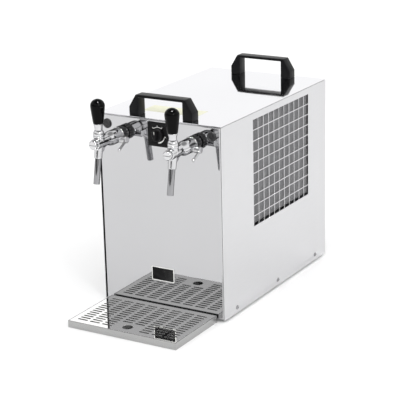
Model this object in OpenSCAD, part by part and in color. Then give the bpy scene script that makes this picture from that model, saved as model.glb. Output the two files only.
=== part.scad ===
// Countertop soda water dispenser: stainless cabinet, two compensator taps, drip tray.
// X runs to the right, Y to the back, Z up. The origin is under the middle of the whole object.

/* [Cabinet] */
// Width of the casing
cabinet_w = 290; // [270:1:330]
// Depth of the casing
cabinet_d = 464; // [450:1:520]
// Height of the casing without its feet
cabinet_h = 406; // [400:1:450]
// Thickness of the casing's sheet steel
sheet = 1.2; // [0.8:0.1:2]
// How far the front and rear panels sit behind the casing's edges
panel_recess = 1.5; // [0.5:0.1:4]
// Gap round the front and rear panels
panel_gap = 0.4; // [0.2:0.1:0.8]
// Outer bend radius of the front panel's edges
bend_r = 4; // [2.1:0.1:5]
// Depth of the front and rear panels' turned edges
panel_flange = 8; // [6:0.5:9]
// Width of the side panels' turned top edge
side_flange = 14; // [8:1:20]
// Open seam between the side panels and the top cover
seam = 0.8; // [0.2:0.1:0.8]
// Thickness of the base pan
base_t = 1.5; // [1:0.1:2.5]
// Height of the base pan's upstand
base_flange_h = 26; // [20:1:34]
// Height of the feet
foot_h = 5; // [3:0.5:12]
// Radius of a foot
foot_r = 12; // [8:0.5:16]
// Distance of the feet from the casing's sides and ends
foot_inset = 36; // [30:1:50]

/* [Casing screws] */
// Radius of a casing screw's shank
screw_r = 2; // [1.5:0.1:2.5]
// Radius of a casing screw's head
screw_head_r = 4.5; // [4:0.1:6]
// Thickness of a casing screw's head
screw_head_t = 2.2; // [1.5:0.1:3]
// Length of a casing screw's shank
screw_len = 8; // [6:0.5:12]
// Height of the screws over the casing's lower edge
screw_z = 12; // [10:0.5:16]
// Distance of the first and last screws from the casing's ends
screw_inset = 52.5; // [40:0.5:70]

/* [Vents] */
// Openings in a row of the side grille
vent_cols = 11; // [6:1:11]
// Rows of the side grille
vent_rows = 10; // [4:1:10]
// Side of one square opening
vent_hole = 20.8; // [12:0.1:20.8]
// Bar between two openings
vent_web = 2; // [1.6:0.1:2.4]
// Distance of the grille from the casing's front
vent_front = 129.5; // [129.5:0.5:140]
// Distance of the grille below the casing's top
vent_top = 16; // [16:0.5:30]
// Length of a slot in the rear panel
rear_slot_len = 84; // [50:1:100]
// Width of a slot in the rear panel
rear_slot_w = 6; // [4:0.5:8]
// Distance from slot to slot in the rear panel
rear_slot_pitch = 14; // [11:0.5:18]
// Slots in each column of the rear panel
rear_slot_rows = 12; // [4:1:14]

/* [Grips] */
// Width of a bridge grip
grip_w = 148; // [120:1:180]
// Front to back size of a grip
grip_depth = 25; // [18:0.5:30]
// Height of a grip over the top cover
grip_h = 42.5; // [40:0.5:60]
// Width of a grip's leg
grip_leg = 22.5; // [16:0.5:26]
// Thickness of a grip's bar
grip_bar = 5.5; // [5:0.5:12]
// Slope at a grip's shoulder, across
grip_slope_x = 16; // [8:0.5:20]
// Slope at a grip's shoulder, up
grip_slope_z = 26; // [16:0.5:30]
// Rounding of a grip's front and back edges
grip_edge = 1.6; // [0.8:0.1:2.4]
// Distance of the front grip from the casing's front
front_grip_inset = 10; // [4:0.5:16]
// Distance of the rear grip from the casing's back
rear_grip_inset = 10; // [6:0.5:16]
// Radius of a grip screw's shank
grip_screw_r = 2.5; // [2:0.1:3]
// Radius of a grip screw's head
grip_screw_head_r = 5; // [4.5:0.1:5.5]
// Depth of a grip screw in its leg
grip_screw_reach = 15; // [10:0.5:16]

/* [Taps] */
// Distance of the taps' axes from the casing's sides
tap_inset = 59; // [50:0.5:70]
// Depth of the taps' axes below the casing's top
tap_drop = 38; // [36:0.5:50]
// Radius of a tap shank
shank_r = 8; // [7:0.1:8.4]
// Radius of a shank's bore
shank_bore_r = 4; // [3:0.1:5]
// Reach of a shank behind the front panel's face
shank_in = 30; // [24:0.5:36]
// Radius of a shank's flange on the panel
shank_flange_r = 13.5; // [11:0.5:15]
// Thickness of a shank's flange
shank_flange_t = 3; // [2:0.1:4]
// Radius of a shank's end collar
collar_r = 10; // [9.5:0.1:10.5]
// Thickness of a shank's end collar
collar_t = 4; // [3:0.1:5]
// Radius of a union nut between its ribs
nut_r = 15; // [14:0.1:18]
// Height of a union nut's ribs
nut_rib = 1.6; // [0.8:0.1:2]
// Ribs round a union nut
nut_ribs = 14; // [8:1:20]
// Length of a union nut
nut_len = 16; // [14:0.5:20]
// Thickness of a union nut's back wall
nut_wall = 5; // [3:0.5:6]
// Radius of a tap's tail inside the nut
tail_r = 11; // [10.8:0.1:12]
// Radius of a tap's flow housing
housing_r = 15; // [14.5:0.1:17]
// Length of a tap's flow housing
housing_len = 25; // [24:0.5:30]
// Length of the taper from housing to head
taper_len = 18; // [14:0.5:22]
// Radius of a tap's head
head_r = 11; // [10:0.1:12]
// Length of a tap's head
head_len = 38; // [36:0.5:46]
// Radius of a tap's flow chamber
chamber_r = 9; // [8.8:0.1:9.4]
// Radius of the valve's bore
valve_r = 6; // [5.8:0.1:6.4]
// Radius of a front cap
cap_r = 9.4; // [8:0.1:10]
// Thickness of a front cap
cap_t = 8; // [5:0.5:10]
// Distance of the handle from the head's front
lever_inset = 16; // [15:0.5:18]

/* [Tap handles] */
// Height of the handle's pivot over the tap's axis
pivot_h = 18; // [17:0.5:20]
// Radius of the pivot ball
ball_r = 7; // [6.5:0.1:7.4]
// Radius of a bonnet
bonnet_r = 11; // [10.7:0.1:12]
// Rise of a handle's neck over the tap's head
neck_rise = 0.4; // [0.3:0.1:0.8]
// Radius of a handle's stem
stem_r = 3.5; // [3:0.1:3.6]
// Radius of a handle's lower finger
finger_r = 2; // [1.6:0.1:2.1]
// Height of a grip's foot over the tap's axis
grip_foot_h = 39.5; // [36:0.5:44]
// Length of a black tap grip
tap_grip_len = 50; // [40:0.5:64]
// Largest radius of a tap grip
tap_grip_r = 14.8; // [12:0.1:18]
// Radius of a tap grip's foot
tap_grip_foot_r = 10.4; // [9.6:0.1:12]
// Radius of a ferrule's top
ferrule_r = 9.4; // [8.5:0.1:10]
// Radius of a ferrule's foot
ferrule_foot_r = 7.8; // [6:0.1:8.4]

/* [Spouts] */
// Radius of a spout tube
spout_r = 6.35; // [5.5:0.05:6.6]
// Radius of a spout's bore
spout_bore_r = 4.9; // [4:0.1:5.2]
// Length of a spout tube
spout_len = 67; // [50:0.5:90]
// Forward lean of a spout
spout_lean = 10.8; // [0:0.1:14]
// Radius of a spout's socket
socket_r = 8; // [7.8:0.1:9]
// Length of a spout's socket below the tap's axis
socket_len = 31; // [26:0.5:36]
// Depth of a spout in its socket
spout_seat = 15; // [10:0.5:18]

/* [Flow levers] */
// Reach of a flow lever's hub from the tap's axis
flow_reach = 23.5; // [17:0.5:24]
// Distance of a flow lever's spindle from the housing's back
flow_inset = 8; // [7.5:0.1:9]
// Depth of a flow lever's spindle below the tap's axis
flow_drop = 5; // [4:0.1:5.5]
// Radius of a flow lever's spindle
spindle_r = 4.5; // [4.2:0.1:4.6]
// Offset of the spindle's drive pin
drive_offset = 2.6; // [2:0.1:2.6]
// Radius of the drive pin
drive_r = 1.5; // [1:0.1:1.5]
// Radius of a flow lever's hub
flow_hub_r = 7; // [6.5:0.1:8]
// Thickness of a flow lever's hub
flow_hub_t = 6; // [5:0.5:8]
// Length of a flow lever's arm
flow_arm_len = 30; // [24:0.5:40]
// Radius of a flow lever's arm
flow_arm_r = 2.4; // [1.8:0.1:3]
// Radius of a flow lever's ball
flow_ball_r = 3.4; // [3.1:0.1:5]
// Slope of a flow lever's arm below level
flow_arm_slope = 28; // [10:1:45]

/* [Dial] */
// Width of the dial plate
dial_w = 49.5; // [40:0.5:56]
// Height of the dial plate
dial_h = 50; // [40:0.5:56]
// Thickness of the dial plate
dial_t = 2; // [1:0.1:3]
// Depth of the dial's centre below the casing's top
dial_drop = 31.5; // [30:0.5:40]
// Radius of the knob
knob_r = 12.5; // [10:0.1:16]
// Height of the knob
knob_h = 15; // [10:0.5:20]
// Radius of the knob's shaft
knob_shaft_r = 3; // [2.5:0.1:3.5]
// Depth of the thermostat's body
thermostat_d = 24; // [20:0.5:28]
// Side of the thermostat's body
thermostat_w = 36; // [28:0.5:42]
// Length of the thermostat's neck
thermostat_neck = 8; // [6:0.5:10]

/* [Front fittings] */
// Width of the badge plate
badge_w = 53.5; // [40:0.5:70]
// Height of the badge plate
badge_h = 30; // [20:0.5:40]
// Thickness of the badge plate
badge_t = 1.4; // [1:0.1:2.5]
// Height of the badge plate's middle over the casing's lower edge
badge_z = 76.5; // [60:0.5:100]
// Radius of a hole plug
plug_r = 10.2; // [8:0.1:13]
// Thickness of a hole plug's rim
plug_t = 3; // [2:0.1:4]
// Distance of a hole plug from the casing's side and top
plug_inset = 22; // [20:0.5:26]

/* [Drip tray] */
// Width of the drip tray
tray_w = 256; // [200:1:280]
// Depth of the drip tray
tray_d = 160; // [120:1:180]
// Height of the drip tray
tray_h = 15; // [12:0.5:24]
// Thickness of the tray and its grate
tray_t = 1.2; // [0.8:0.1:1.6]
// Distance of the tray from the casing's front
tray_gap = 2; // [1:0.5:20]
// Gap between the grate and the tray's wall
grate_gap = 0.6; // [0.4:0.1:1]
// Length of a drain slot
slot_len = 24; // [16:0.5:30]
// Width of a drain slot
slot_w = 5; // [3:0.1:6]
// Distance between drain slots, across
slot_pitch_x = 29.5; // [28:0.1:36]
// Distance between drain slots, front to back
slot_pitch_y = 10.4; // [9:0.1:14]
// Radius of the finger hole
finger_hole_r = 11; // [9:0.5:14]
// Distance of the finger hole from the grate's front
finger_hole_inset = 24; // [20:0.5:30]

/* [Cooling] */
// Width of the insulated cooling block
block_w = 230; // [215:1:240]
// Depth of the cooling block
block_d = 72; // [60:1:74]
// Distance of the cooling block from the front panel
block_inset = 36; // [35:0.5:38]
// Depth of the cooling block's top below the taps' axes
block_drop = 48; // [44:0.5:60]
// Radius of a drink line
line_r = 4.8; // [4:0.1:6]
// Bend radius of a drink line
line_bend = 14; // [12:0.5:16]
// Radius of the compressor's shell
compressor_r = 68; // [55:0.5:72]
// Height of the compressor's shell
compressor_h = 158; // [130:1:170]
// Thickness of the compressor's mounting plate
compressor_plate_t = 3; // [2:0.5:5]
// Height of a rubber compressor mount
mount_h = 10; // [8:0.5:14]
// Distance of the condenser behind the right grille
condenser_inset = 4; // [3:0.5:10]
// How far the condenser's middle lies behind the grille's middle
condenser_shift = 4; // [3:0.5:8]
// Thickness of the condenser
condenser_t = 40; // [34:0.5:44]
// Reach of the fan shroud past each end of the grille
shroud_over = 18; // [14:0.5:18]
// Distance from fin to fin
fin_pitch = 6; // [5:0.5:10]
// Thickness of a fin
fin_t = 0.6; // [0.4:0.1:1]
// Radius of the condenser's tube
coil_r = 4; // [3:0.1:4.5]
// Passes of the condenser's tube
coil_rows = 10; // [4:2:10]
// Distance from pass to pass
coil_pitch = 22; // [18:0.5:22]
// Radius of the fan
fan_r = 86; // [70:1:90]
// Front to back size of the fan's blades
fan_w = 24; // [18:0.5:26]
// Blades of the fan
fan_blades_n = 5; // [3:1:6]
// Radius of the fan's hub
fan_hub_r = 24; // [20:0.5:28]
// Radius of the fan's motor
fan_motor_r = 36; // [28:0.5:40]
// Length of the fan's motor
fan_motor_len = 46; // [36:0.5:50]
// Radius of the fan motor's shaft
fan_shaft_r = 3; // [2.5:0.1:4]

/* [Carbonation] */
// Radius of the carbonator vessel
vessel_r = 40; // [34:0.5:44]
// Height of the carbonator vessel
vessel_h = 210; // [160:1:230]
// Radius of the pump's motor
pump_r = 27; // [22:0.5:27]
// Length of the pump's motor
pump_len = 84; // [70:1:90]
// Length of the pump's head
pump_head_len = 30; // [24:0.5:36]

/* [Rear connections] */
// Height of the rear connections over the casing's lower edge
inlet_z = 62; // [50:0.5:80]
// Reach of the rear inlets behind the rear panel
inlet_out = 20; // [16:0.5:26]
// Radius of a rear inlet
inlet_r = 10.5; // [9:0.1:12]
// Radius of the water inlet's bore
water_bore_r = 4.8; // [4:0.05:6]
// Radius of the gas inlet's bore
gas_bore_r = 4.05; // [3:0.05:5]
// Depth of a rear inlet's bore
inlet_bore_len = 15; // [10:0.5:16]
// Distance of the water inlet from the casing's inner side
inlet_inset = 52; // [40:0.5:60]
// Distance between the water and gas inlets
inlet_spacing = 40; // [34:0.5:50]
// Distance of the mains inlet from the casing's inner side
mains_inset = 62; // [50:0.5:70]
// Width of the mains inlet
mains_w = 30; // [28:0.5:34]
// Height of the mains inlet
mains_h = 22; // [20:0.5:26]
// Depth of the mains inlet behind the rear panel
mains_depth = 24; // [22:0.5:26]
// Width of the control box
control_w = 30; // [24:1:32]
// Depth of the control box
control_d = 62; // [50:1:66]
// Height of the control box
control_h = 110; // [80:1:130]

/* [Hidden] */
$fn = 64;
// Clearance between pieces that touch nothing
clear = 0.3;
// Clearance of a running or seated fit
fit = 0.05;
// Cuts reach this far past the faces they open
past = 1;

rear_face = cabinet_d - panel_recess;
mid_y = (rear_face + inlet_out - tray_gap - tray_d) / 2;
top_z = foot_h + cabinet_h;
cover_z = top_z - sheet;
base_top = foot_h + base_t;
inner_w = cabinet_w - 2 * sheet;
panel_w = inner_w - 2 * panel_gap;
panel_h = cabinet_h - sheet - panel_gap;
panel_back = panel_recess + sheet;
base_front = panel_recess + panel_flange + past;
base_back = cabinet_d - base_front;
rear_slot_z = top_z - cabinet_h / 10;
inlet_neck_r = inlet_r * 0.7;
inlet_ring_r = inlet_r * 0.85;
inlet_in = inlet_out * 0.7;

tap_x = cabinet_w / 2 - tap_inset;
tap_z = top_z - tap_drop;
nut_back = -(shank_flange_t + clear);
nut_front = nut_back - nut_len;
collar_back = nut_back - nut_wall;
collar_front = collar_back - collar_t;
housing_back = nut_front - clear;
housing_front = housing_back - housing_len;
taper_front = housing_front - taper_len;
head_front = taper_front - head_len;
lever_y = head_front + lever_inset;
web_t = head_r * 0.64;
web_back = taper_front + 4;
web_drop = socket_len * 0.8;
web_sweep = 150;
socket_ball_r = ball_r + clear;
dome_gap_r = bonnet_r + 0.5;
bonnet_foot_h = head_r + neck_rise;
dome_mouth = 42;
socket_mouth = 33;
neck_bore_r = 8.2;
tap_grip_edge = 0.8;
widest_h = tap_grip_len * 0.72;
stem_in_grip = tap_grip_len / 2;
flow_y = housing_back - flow_inset;
flow_lever_x = flow_reach + clear;
spindle_end = chamber_r + 0.6;
drive_mid = 20;
plunger_r = valve_r - fit;
plunger_front = -11.5;
plunger_back = 22;
finger_slot = finger_r + 1.3;
finger_flare = 2.2;
cone_r = chamber_r - fit;
chamber_front = housing_front + 1;
chamber_tip = chamber_front - 12;

dial_z = top_z - dial_drop;
dial_hole_r = knob_shaft_r + 1;
knob_shaft_in = thermostat_d / 4;
plug_hole_r = plug_r - 2;
plug_wall = 1.5;
front_grip_y = front_grip_inset + grip_depth / 2;
rear_grip_y = cabinet_d - rear_grip_inset - grip_depth / 2;
grip_screw_x = (grip_w - grip_leg) / 2;
grip_screw_head_t = 3;

grate_w = tray_w - 2 * (tray_t + grate_gap);
grate_d = tray_d - 2 * (tray_t + grate_gap);
tray_back = -tray_gap;
tray_front = tray_back - tray_d;
grate_front = tray_front + tray_t + grate_gap;
slot_margin = 10;
slot_cols = floor((grate_w - 2 * slot_margin - slot_len) / slot_pitch_x) + 1;
slot_rows = floor((grate_d - 2 * slot_margin - slot_w) / slot_pitch_y) + 1;
slot_x0 = -(slot_cols - 1) * slot_pitch_x / 2;
slot_y0 = grate_front + (grate_d - (slot_rows - 1) * slot_pitch_y) / 2;
finger_hole_y = grate_front + finger_hole_inset;

vent_len = vent_cols * (vent_hole + vent_web) - vent_web;
vent_high = vent_rows * (vent_hole + vent_web) - vent_web;
vent_z = top_z - vent_top - vent_high;
vent_mid_y = vent_front + vent_len / 2;
vent_mid_z = vent_z + vent_high / 2;

block_front = panel_back + block_inset;
block_top = tap_z - block_drop;
condenser_out = cabinet_w / 2 - sheet - condenser_inset;
condenser_in = condenser_out - condenser_t;
condenser_y = vent_mid_y + condenser_shift;
shroud_t = 1.2;
shroud_x = condenser_in - shroud_t;
shroud_half = vent_len / 2 + shroud_over;
coil_over = 3;
fin_half = shroud_half - shroud_t - coil_pitch / 2 - coil_r - coil_over - past;
fin_top = vent_mid_z + coil_rows * coil_pitch / 2;
fin_low = vent_mid_z - coil_rows * coil_pitch / 2;
shroud_top = fin_top + 4;
fan_x = shroud_x - fan_w * 7 / 6;
motor_x = fan_x - fan_w / 5;
motor_edge = fan_motor_r / 7;
shaft_reach = fan_motor_len * 0.4;
motor_strap_t = 2;
strap_half = fan_r + 12;
strap_leg_w = 16;
blade_arc_r = fan_r * 0.8;
blade_half_t = fan_w / 30;
blade_edge = fan_w / 48;

compressor_x = -30;
compressor_y = rear_face - panel_flange - compressor_r - 24;
plate_w = compressor_r * 1.9;
rim_z = compressor_h * 0.55;
rim_w = 4;
rim_h = 5;
compressor_stub_r = 5;
compressor_stub_len = 22;
stub_root = 3;
mount_r = 8;
mount_bolt_r = 3;
skirt_h = vessel_r * 0.3;
vessel_x = -inner_w / 2 + vessel_r + 12;
vessel_y = block_front + block_d + vessel_r + 8;
pump_y = vessel_y + vessel_r + pump_r + 8;
pump_x = -inner_w / 2 + 16;
pump_z = base_top + pump_r + 8;
pump_head_r = pump_r * 0.7;
pump_end = pump_len + pump_head_len;
pump_edge = pump_r / 10;
inlet_x = -inner_w / 2 + inlet_inset;
mains_x = inner_w / 2 - mains_inset;
inlet_abs_z = foot_h + inlet_z;
control_x = shroud_x - 3 - control_w / 2;
control_y = rear_face - mains_depth - 6 - control_d / 2;
mains_lip_t = 3;
mains_wall = 2.5;
socket_depth = mains_depth * 0.75;
pin_pitch = 7;
pin_rise = 3;
pin_w = 2;
pin_h = 4;
pin_len = 14;
pin_root = 0.5;

// Points of an arc from angle a to angle b
function arc(x, y, r, a, b, n = 6) =
    [for (i = [0:n]) [x + r * cos(a + (b - a) * i / n), y + r * sin(a + (b - a) * i / n)]];

// Outline of a rectangle with round corners, centred
function round_rect(w, h, r) = concat(
    arc(w / 2 - r, h / 2 - r, r, 0, 90),
    arc(-w / 2 + r, h / 2 - r, r, 90, 180),
    arc(-w / 2 + r, -h / 2 + r, r, 180, 270),
    arc(w / 2 - r, -h / 2 + r, r, 270, 360));

// Puts the casing's front edge, drawn at Y 0, where the object's middle asks for it
module placed() translate([0, -mid_y, 0]) children();
// Turns what is drawn along Z to run along Y
module along_y() rotate([-90, 0, 0]) children();
// Turns what is drawn along Z to run along X
module along_x() rotate([0, 90, 0]) children();
// Turns an outline drawn in X and Y to stand in X and Z, with its thickness to the back
module upright() mirror([0, 1, 0]) rotate([90, 0, 0]) children();
// Turns an outline drawn in X and Y to lie in Y and Z, with its thickness to the right
module sideways() rotate([90, 0, 90]) children();

// Cabinet

module base_pan() placed() color("gainsboro") difference() {
    translate([-inner_w / 2, base_front, foot_h])
        cube([inner_w, base_back - base_front, base_flange_h]);
    translate([-inner_w / 2 + base_t, base_front + base_t, base_top])
        cube([inner_w - 2 * base_t, base_back - base_front - 2 * base_t, base_flange_h]);
    for (y = screw_rows())
        translate([-inner_w / 2 - past, y, foot_h + screw_z])
            along_x() cylinder(r = screw_r + fit, h = inner_w + 2 * past);
}

function screw_rows() = [screw_inset, cabinet_d / 2, cabinet_d - screw_inset];

module feet() placed() color("dimgray")
    for (x = [-1, 1], y = [foot_inset, cabinet_d - foot_inset])
        translate([x * (cabinet_w / 2 - foot_inset), y, 0]) difference() {
            cylinder(r1 = foot_r - 1.5, r2 = foot_r, h = foot_h);
            translate([0, 0, -past]) cylinder(r = foot_r / 3, h = foot_h / 2 + past);
        }

// One side of the casing: a sheet with the square grille and a turned top edge
module side_panel() difference() {
    union() {
        translate([cabinet_w / 2 - sheet, 0, 0]) sideways() linear_extrude(sheet) difference() {
            translate([0, foot_h]) square([cabinet_d, cover_z - seam - foot_h]);
            for (i = [0:vent_cols - 1], j = [0:vent_rows - 1])
                translate([vent_front + i * (vent_hole + vent_web), vent_z + j * (vent_hole + vent_web)])
                    square(vent_hole);
        }
        translate([cabinet_w / 2 - sheet - side_flange, base_front, cover_z - sheet])
            cube([side_flange, base_back - base_front, sheet]);
        translate([cabinet_w / 2 - 2 * sheet, base_front, cover_z - 3 * sheet])
            cube([sheet, base_back - base_front, 3 * sheet]);
    }
    for (y = screw_rows())
        translate([cabinet_w / 2 - sheet - past, y, foot_h + screw_z])
            along_x() cylinder(r = screw_r + clear, h = sheet + 2 * past);
}

module right_panel() placed() color("silver") side_panel();
module left_panel() placed() color("silver") mirror([1, 0, 0]) side_panel();

module side_screws() placed() color("lightgray")
    for (s = [0, 1], y = screw_rows())
        mirror([s, 0, 0]) translate([cabinet_w / 2, y, foot_h + screw_z]) along_x() difference() {
            rotate_extrude() polygon([[0, -screw_len], [screw_r, -screw_len], [screw_r, 0],
                [screw_head_r, 0], [screw_head_r, screw_head_t * 0.45],
                [screw_head_r * 0.75, screw_head_t * 0.85], [screw_head_r * 0.35, screw_head_t],
                [0, screw_head_t]]);
            for (a = [0, 90]) rotate(a)
                translate([-screw_head_r * 0.55, -0.45, screw_head_t * 0.45])
                    cube([screw_head_r * 1.1, 0.9, screw_head_t]);
        }

module top_cover() placed() color("whitesmoke") difference() {
    translate([-cabinet_w / 2, 0, cover_z]) cube([cabinet_w, cabinet_d, sheet]);
    for (x = [-1, 1], y = [front_grip_y, rear_grip_y])
        translate([x * grip_screw_x, y, cover_z - past])
            cylinder(r = grip_screw_r + clear, h = sheet + 2 * past);
}

// Block with its front edges rounded, its front at Y 0 and its foot at Z 0
module round_front(w, d, h, r) intersection() {
    linear_extrude(h) polygon(concat([[w / 2, d], [-w / 2, d]],
        arc(-w / 2 + r, r, r, 180, 270), arc(w / 2 - r, r, r, 270, 360)));
    translate([-w / 2, 0, 0]) sideways() linear_extrude(w) polygon(concat([[d, 0], [d, h]],
        arc(r, h - r, r, 90, 180), arc(r, r, r, 180, 270)));
}

// Sheet pan that closes one end of the casing, open to the back
module end_pan() difference() {
    round_front(panel_w, panel_flange, panel_h, bend_r);
    translate([0, sheet, sheet])
        round_front(panel_w - 2 * sheet, panel_flange, panel_h - 2 * sheet, bend_r - sheet);
}

module front_panel() placed() color("lightgray") difference() {
    translate([0, panel_recess, foot_h]) end_pan();
    for (s = [-1, 1]) {
        translate([s * tap_x, 0, tap_z])
            along_y() cylinder(r = shank_r + clear, h = panel_back + past);
        translate([s * (cabinet_w / 2 - plug_inset), 0, top_z - plug_inset])
            along_y() cylinder(r = plug_hole_r, h = panel_back + past);
    }
    translate([0, 0, dial_z]) along_y() cylinder(r = dial_hole_r, h = panel_back + past);
}

module rear_panel() placed() color("silver") difference() {
    translate([0, rear_face, foot_h]) mirror([0, 1, 0]) end_pan();
    translate([0, rear_face - sheet - past, 0]) {
        for (s = [-1, 1], i = [0:rear_slot_rows - 1])
            translate([s * panel_w / 4, 0, rear_slot_z - i * rear_slot_pitch]) along_y()
                linear_extrude(sheet + 2 * past) slot_outline(rear_slot_len, rear_slot_w);
        for (i = [0, 1])
            translate([inlet_x + i * inlet_spacing, 0, inlet_abs_z])
                along_y() cylinder(r = inlet_neck_r + clear, h = sheet + 2 * past);
        translate([mains_x - mains_w / 2 - clear, 0, inlet_abs_z - mains_h / 2 - clear])
            cube([mains_w + 2 * clear, sheet + 2 * past, mains_h + 2 * clear]);
    }
}

// Outline of a long slot with round ends, along X
module slot_outline(len, w) polygon(concat(
    arc(len / 2 - w / 2, 0, w / 2, -90, 90, 4), arc(-len / 2 + w / 2, 0, w / 2, 90, 270, 4)));

// Grips

// Bridge grip standing on Z 0, with its middle at the origin
module bridge_grip() difference() {
    intersection() {
        translate([0, -grip_depth / 2, 0]) upright() linear_extrude(grip_depth) difference() {
            polygon([[-grip_w / 2, 0], [grip_w / 2, 0], [grip_w / 2, grip_h - grip_slope_z],
                [grip_w / 2 - grip_slope_x, grip_h], [-grip_w / 2 + grip_slope_x, grip_h],
                [-grip_w / 2, grip_h - grip_slope_z]]);
            translate([-grip_w / 2 + grip_leg, -past])
                square([grip_w - 2 * grip_leg, grip_h - grip_bar + past]);
        }
        translate([-grip_w / 2, 0, 0]) sideways() linear_extrude(grip_w) polygon(concat(
            [[-grip_depth / 2, 0], [grip_depth / 2, 0]],
            arc(grip_depth / 2 - grip_edge, grip_h - grip_edge, grip_edge, 0, 90),
            arc(-grip_depth / 2 + grip_edge, grip_h - grip_edge, grip_edge, 90, 180)));
    }
    for (s = [-1, 1]) translate([s * grip_screw_x, 0, -past])
        cylinder(r = grip_screw_r + fit, h = grip_screw_reach + past + 0.5);
}

module front_grip() placed() color("black") translate([0, front_grip_y, top_z]) bridge_grip();
module rear_grip() placed() color("black") translate([0, rear_grip_y, top_z]) bridge_grip();

module grip_screws() placed() color("gray")
    for (x = [-1, 1], y = [front_grip_y, rear_grip_y])
        translate([x * grip_screw_x, y, cover_z]) {
            cylinder(r = grip_screw_r, h = sheet + grip_screw_reach);
            translate([0, 0, -grip_screw_head_t]) cylinder(r = grip_screw_head_r, h = grip_screw_head_t);
        }

// Front fittings

module badge_plate() placed() color("black")
    translate([0, panel_recess - badge_t, foot_h + badge_z]) difference() {
        upright() linear_extrude(badge_t) polygon(round_rect(badge_w, badge_h, 2));
        translate([0, -past, 0]) upright()
            linear_extrude(past + badge_t * 0.35) polygon(round_rect(badge_w - 3, badge_h - 3, 1));
    }

module hole_plugs() placed() color("black")
    for (s = [-1, 1])
        translate([s * (cabinet_w / 2 - plug_inset), panel_recess, top_z - plug_inset]) along_y()
            rotate_extrude() polygon([[0, -plug_t], [plug_r * 0.76, -plug_t], [plug_r * 0.94, -plug_t * 0.7],
                [plug_r, -plug_t * 0.3], [plug_r, 0], [plug_hole_r - fit, 0],
                [plug_hole_r - fit, sheet + plug_t], [plug_hole_r - plug_wall, sheet + plug_t],
                [plug_hole_r - plug_wall, -plug_t / 3], [0, -plug_t / 3]]);

module dial_plate() placed() color("black")
    translate([0, panel_recess - dial_t, dial_z]) difference() {
        upright() linear_extrude(dial_t) polygon(round_rect(dial_w, dial_h, 2.5));
        translate([0, -past, 0]) along_y() cylinder(r = dial_hole_r, h = dial_t + 2 * past);
    }

// Knob with a grip bar across its face and its shaft to the thermostat
module thermostat_knob() placed() color("black")
    translate([0, panel_recess - dial_t - clear, dial_z]) {
        along_y() rotate_extrude() polygon([[0, -knob_h * 0.45], [knob_r * 0.9, -knob_h * 0.45],
            [knob_r, -knob_h * 0.4], [knob_r, 0], [0, 0]]);
        intersection() {
            along_y() translate([0, 0, -knob_h]) cylinder(r = knob_r * 0.92, h = knob_h);
            translate([-knob_r * 0.28, -knob_h, -knob_r]) cube([knob_r * 0.56, knob_h, 2 * knob_r]);
        }
        along_y() cylinder(r = knob_shaft_r, h = clear + dial_t + sheet + thermostat_neck + knob_shaft_in);
    }

module thermostat_body() placed() color("darkgray")
    translate([0, panel_back, dial_z]) difference() {
        union() {
            along_y() cylinder(r = knob_shaft_r + 3, h = thermostat_neck);
            translate([-thermostat_w / 2, thermostat_neck, -thermostat_w / 2])
                cube([thermostat_w, thermostat_d, thermostat_w]);
        }
        translate([0, -past, 0]) along_y()
            cylinder(r = knob_shaft_r + fit, h = thermostat_neck + knob_shaft_in + 3 * past);
    }

// Taps, each drawn with the panel's face at Y 0 and its own axis along Y

module left_place() placed() translate([-tap_x, panel_recess, tap_z]) children();
module right_place() placed() translate([tap_x, panel_recess, tap_z]) children();

module shank() color("silver") along_y() rotate_extrude() polygon([
    [shank_bore_r, collar_front], [collar_r, collar_front], [collar_r, collar_back],
    [shank_r, collar_back], [shank_r, -shank_flange_t], [shank_flange_r - 1, -shank_flange_t],
    [shank_flange_r, -shank_flange_t + 1], [shank_flange_r, 0], [shank_r, 0], [shank_r, shank_in],
    [shank_bore_r, shank_in]]);
module left_shank() left_place() shank();
module right_shank() right_place() shank();

module shank_nut() color("silver") translate([0, sheet, 0]) along_y() difference() {
    cylinder(r = shank_r * 1.75, h = 6, $fn = 6);
    translate([0, 0, -past]) cylinder(r = shank_r + fit, h = 6 + 2 * past);
}
module shank_nuts() {
    left_place() shank_nut();
    right_place() shank_nut();
}

// Union nut with round ribs for the hand
module union_nut() color("black") along_y() difference() {
    union() {
        rotate_extrude() polygon([[shank_r + fit, nut_front], [nut_r - 1, nut_front],
            [nut_r, nut_front + 1], [nut_r, nut_back - 1], [nut_r - 1, nut_back], [shank_r + fit, nut_back]]);
        for (i = [0:nut_ribs - 1]) rotate(i * 360 / nut_ribs)
            translate([nut_r - 0.8, 0, nut_front + 1.2]) cylinder(r = nut_rib + 0.8, h = nut_len - 2.4);
    }
    translate([0, 0, nut_front - past]) cylinder(r = tail_r + fit, h = collar_back - nut_front + past);
}
module left_union_nut() left_place() union_nut();
module right_union_nut() right_place() union_nut();

// Spout line: down from the tap's axis, leaning forward
module spout_line() translate([0, lever_y, 0]) rotate([180 - spout_lean, 0, 0]) children();

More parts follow.
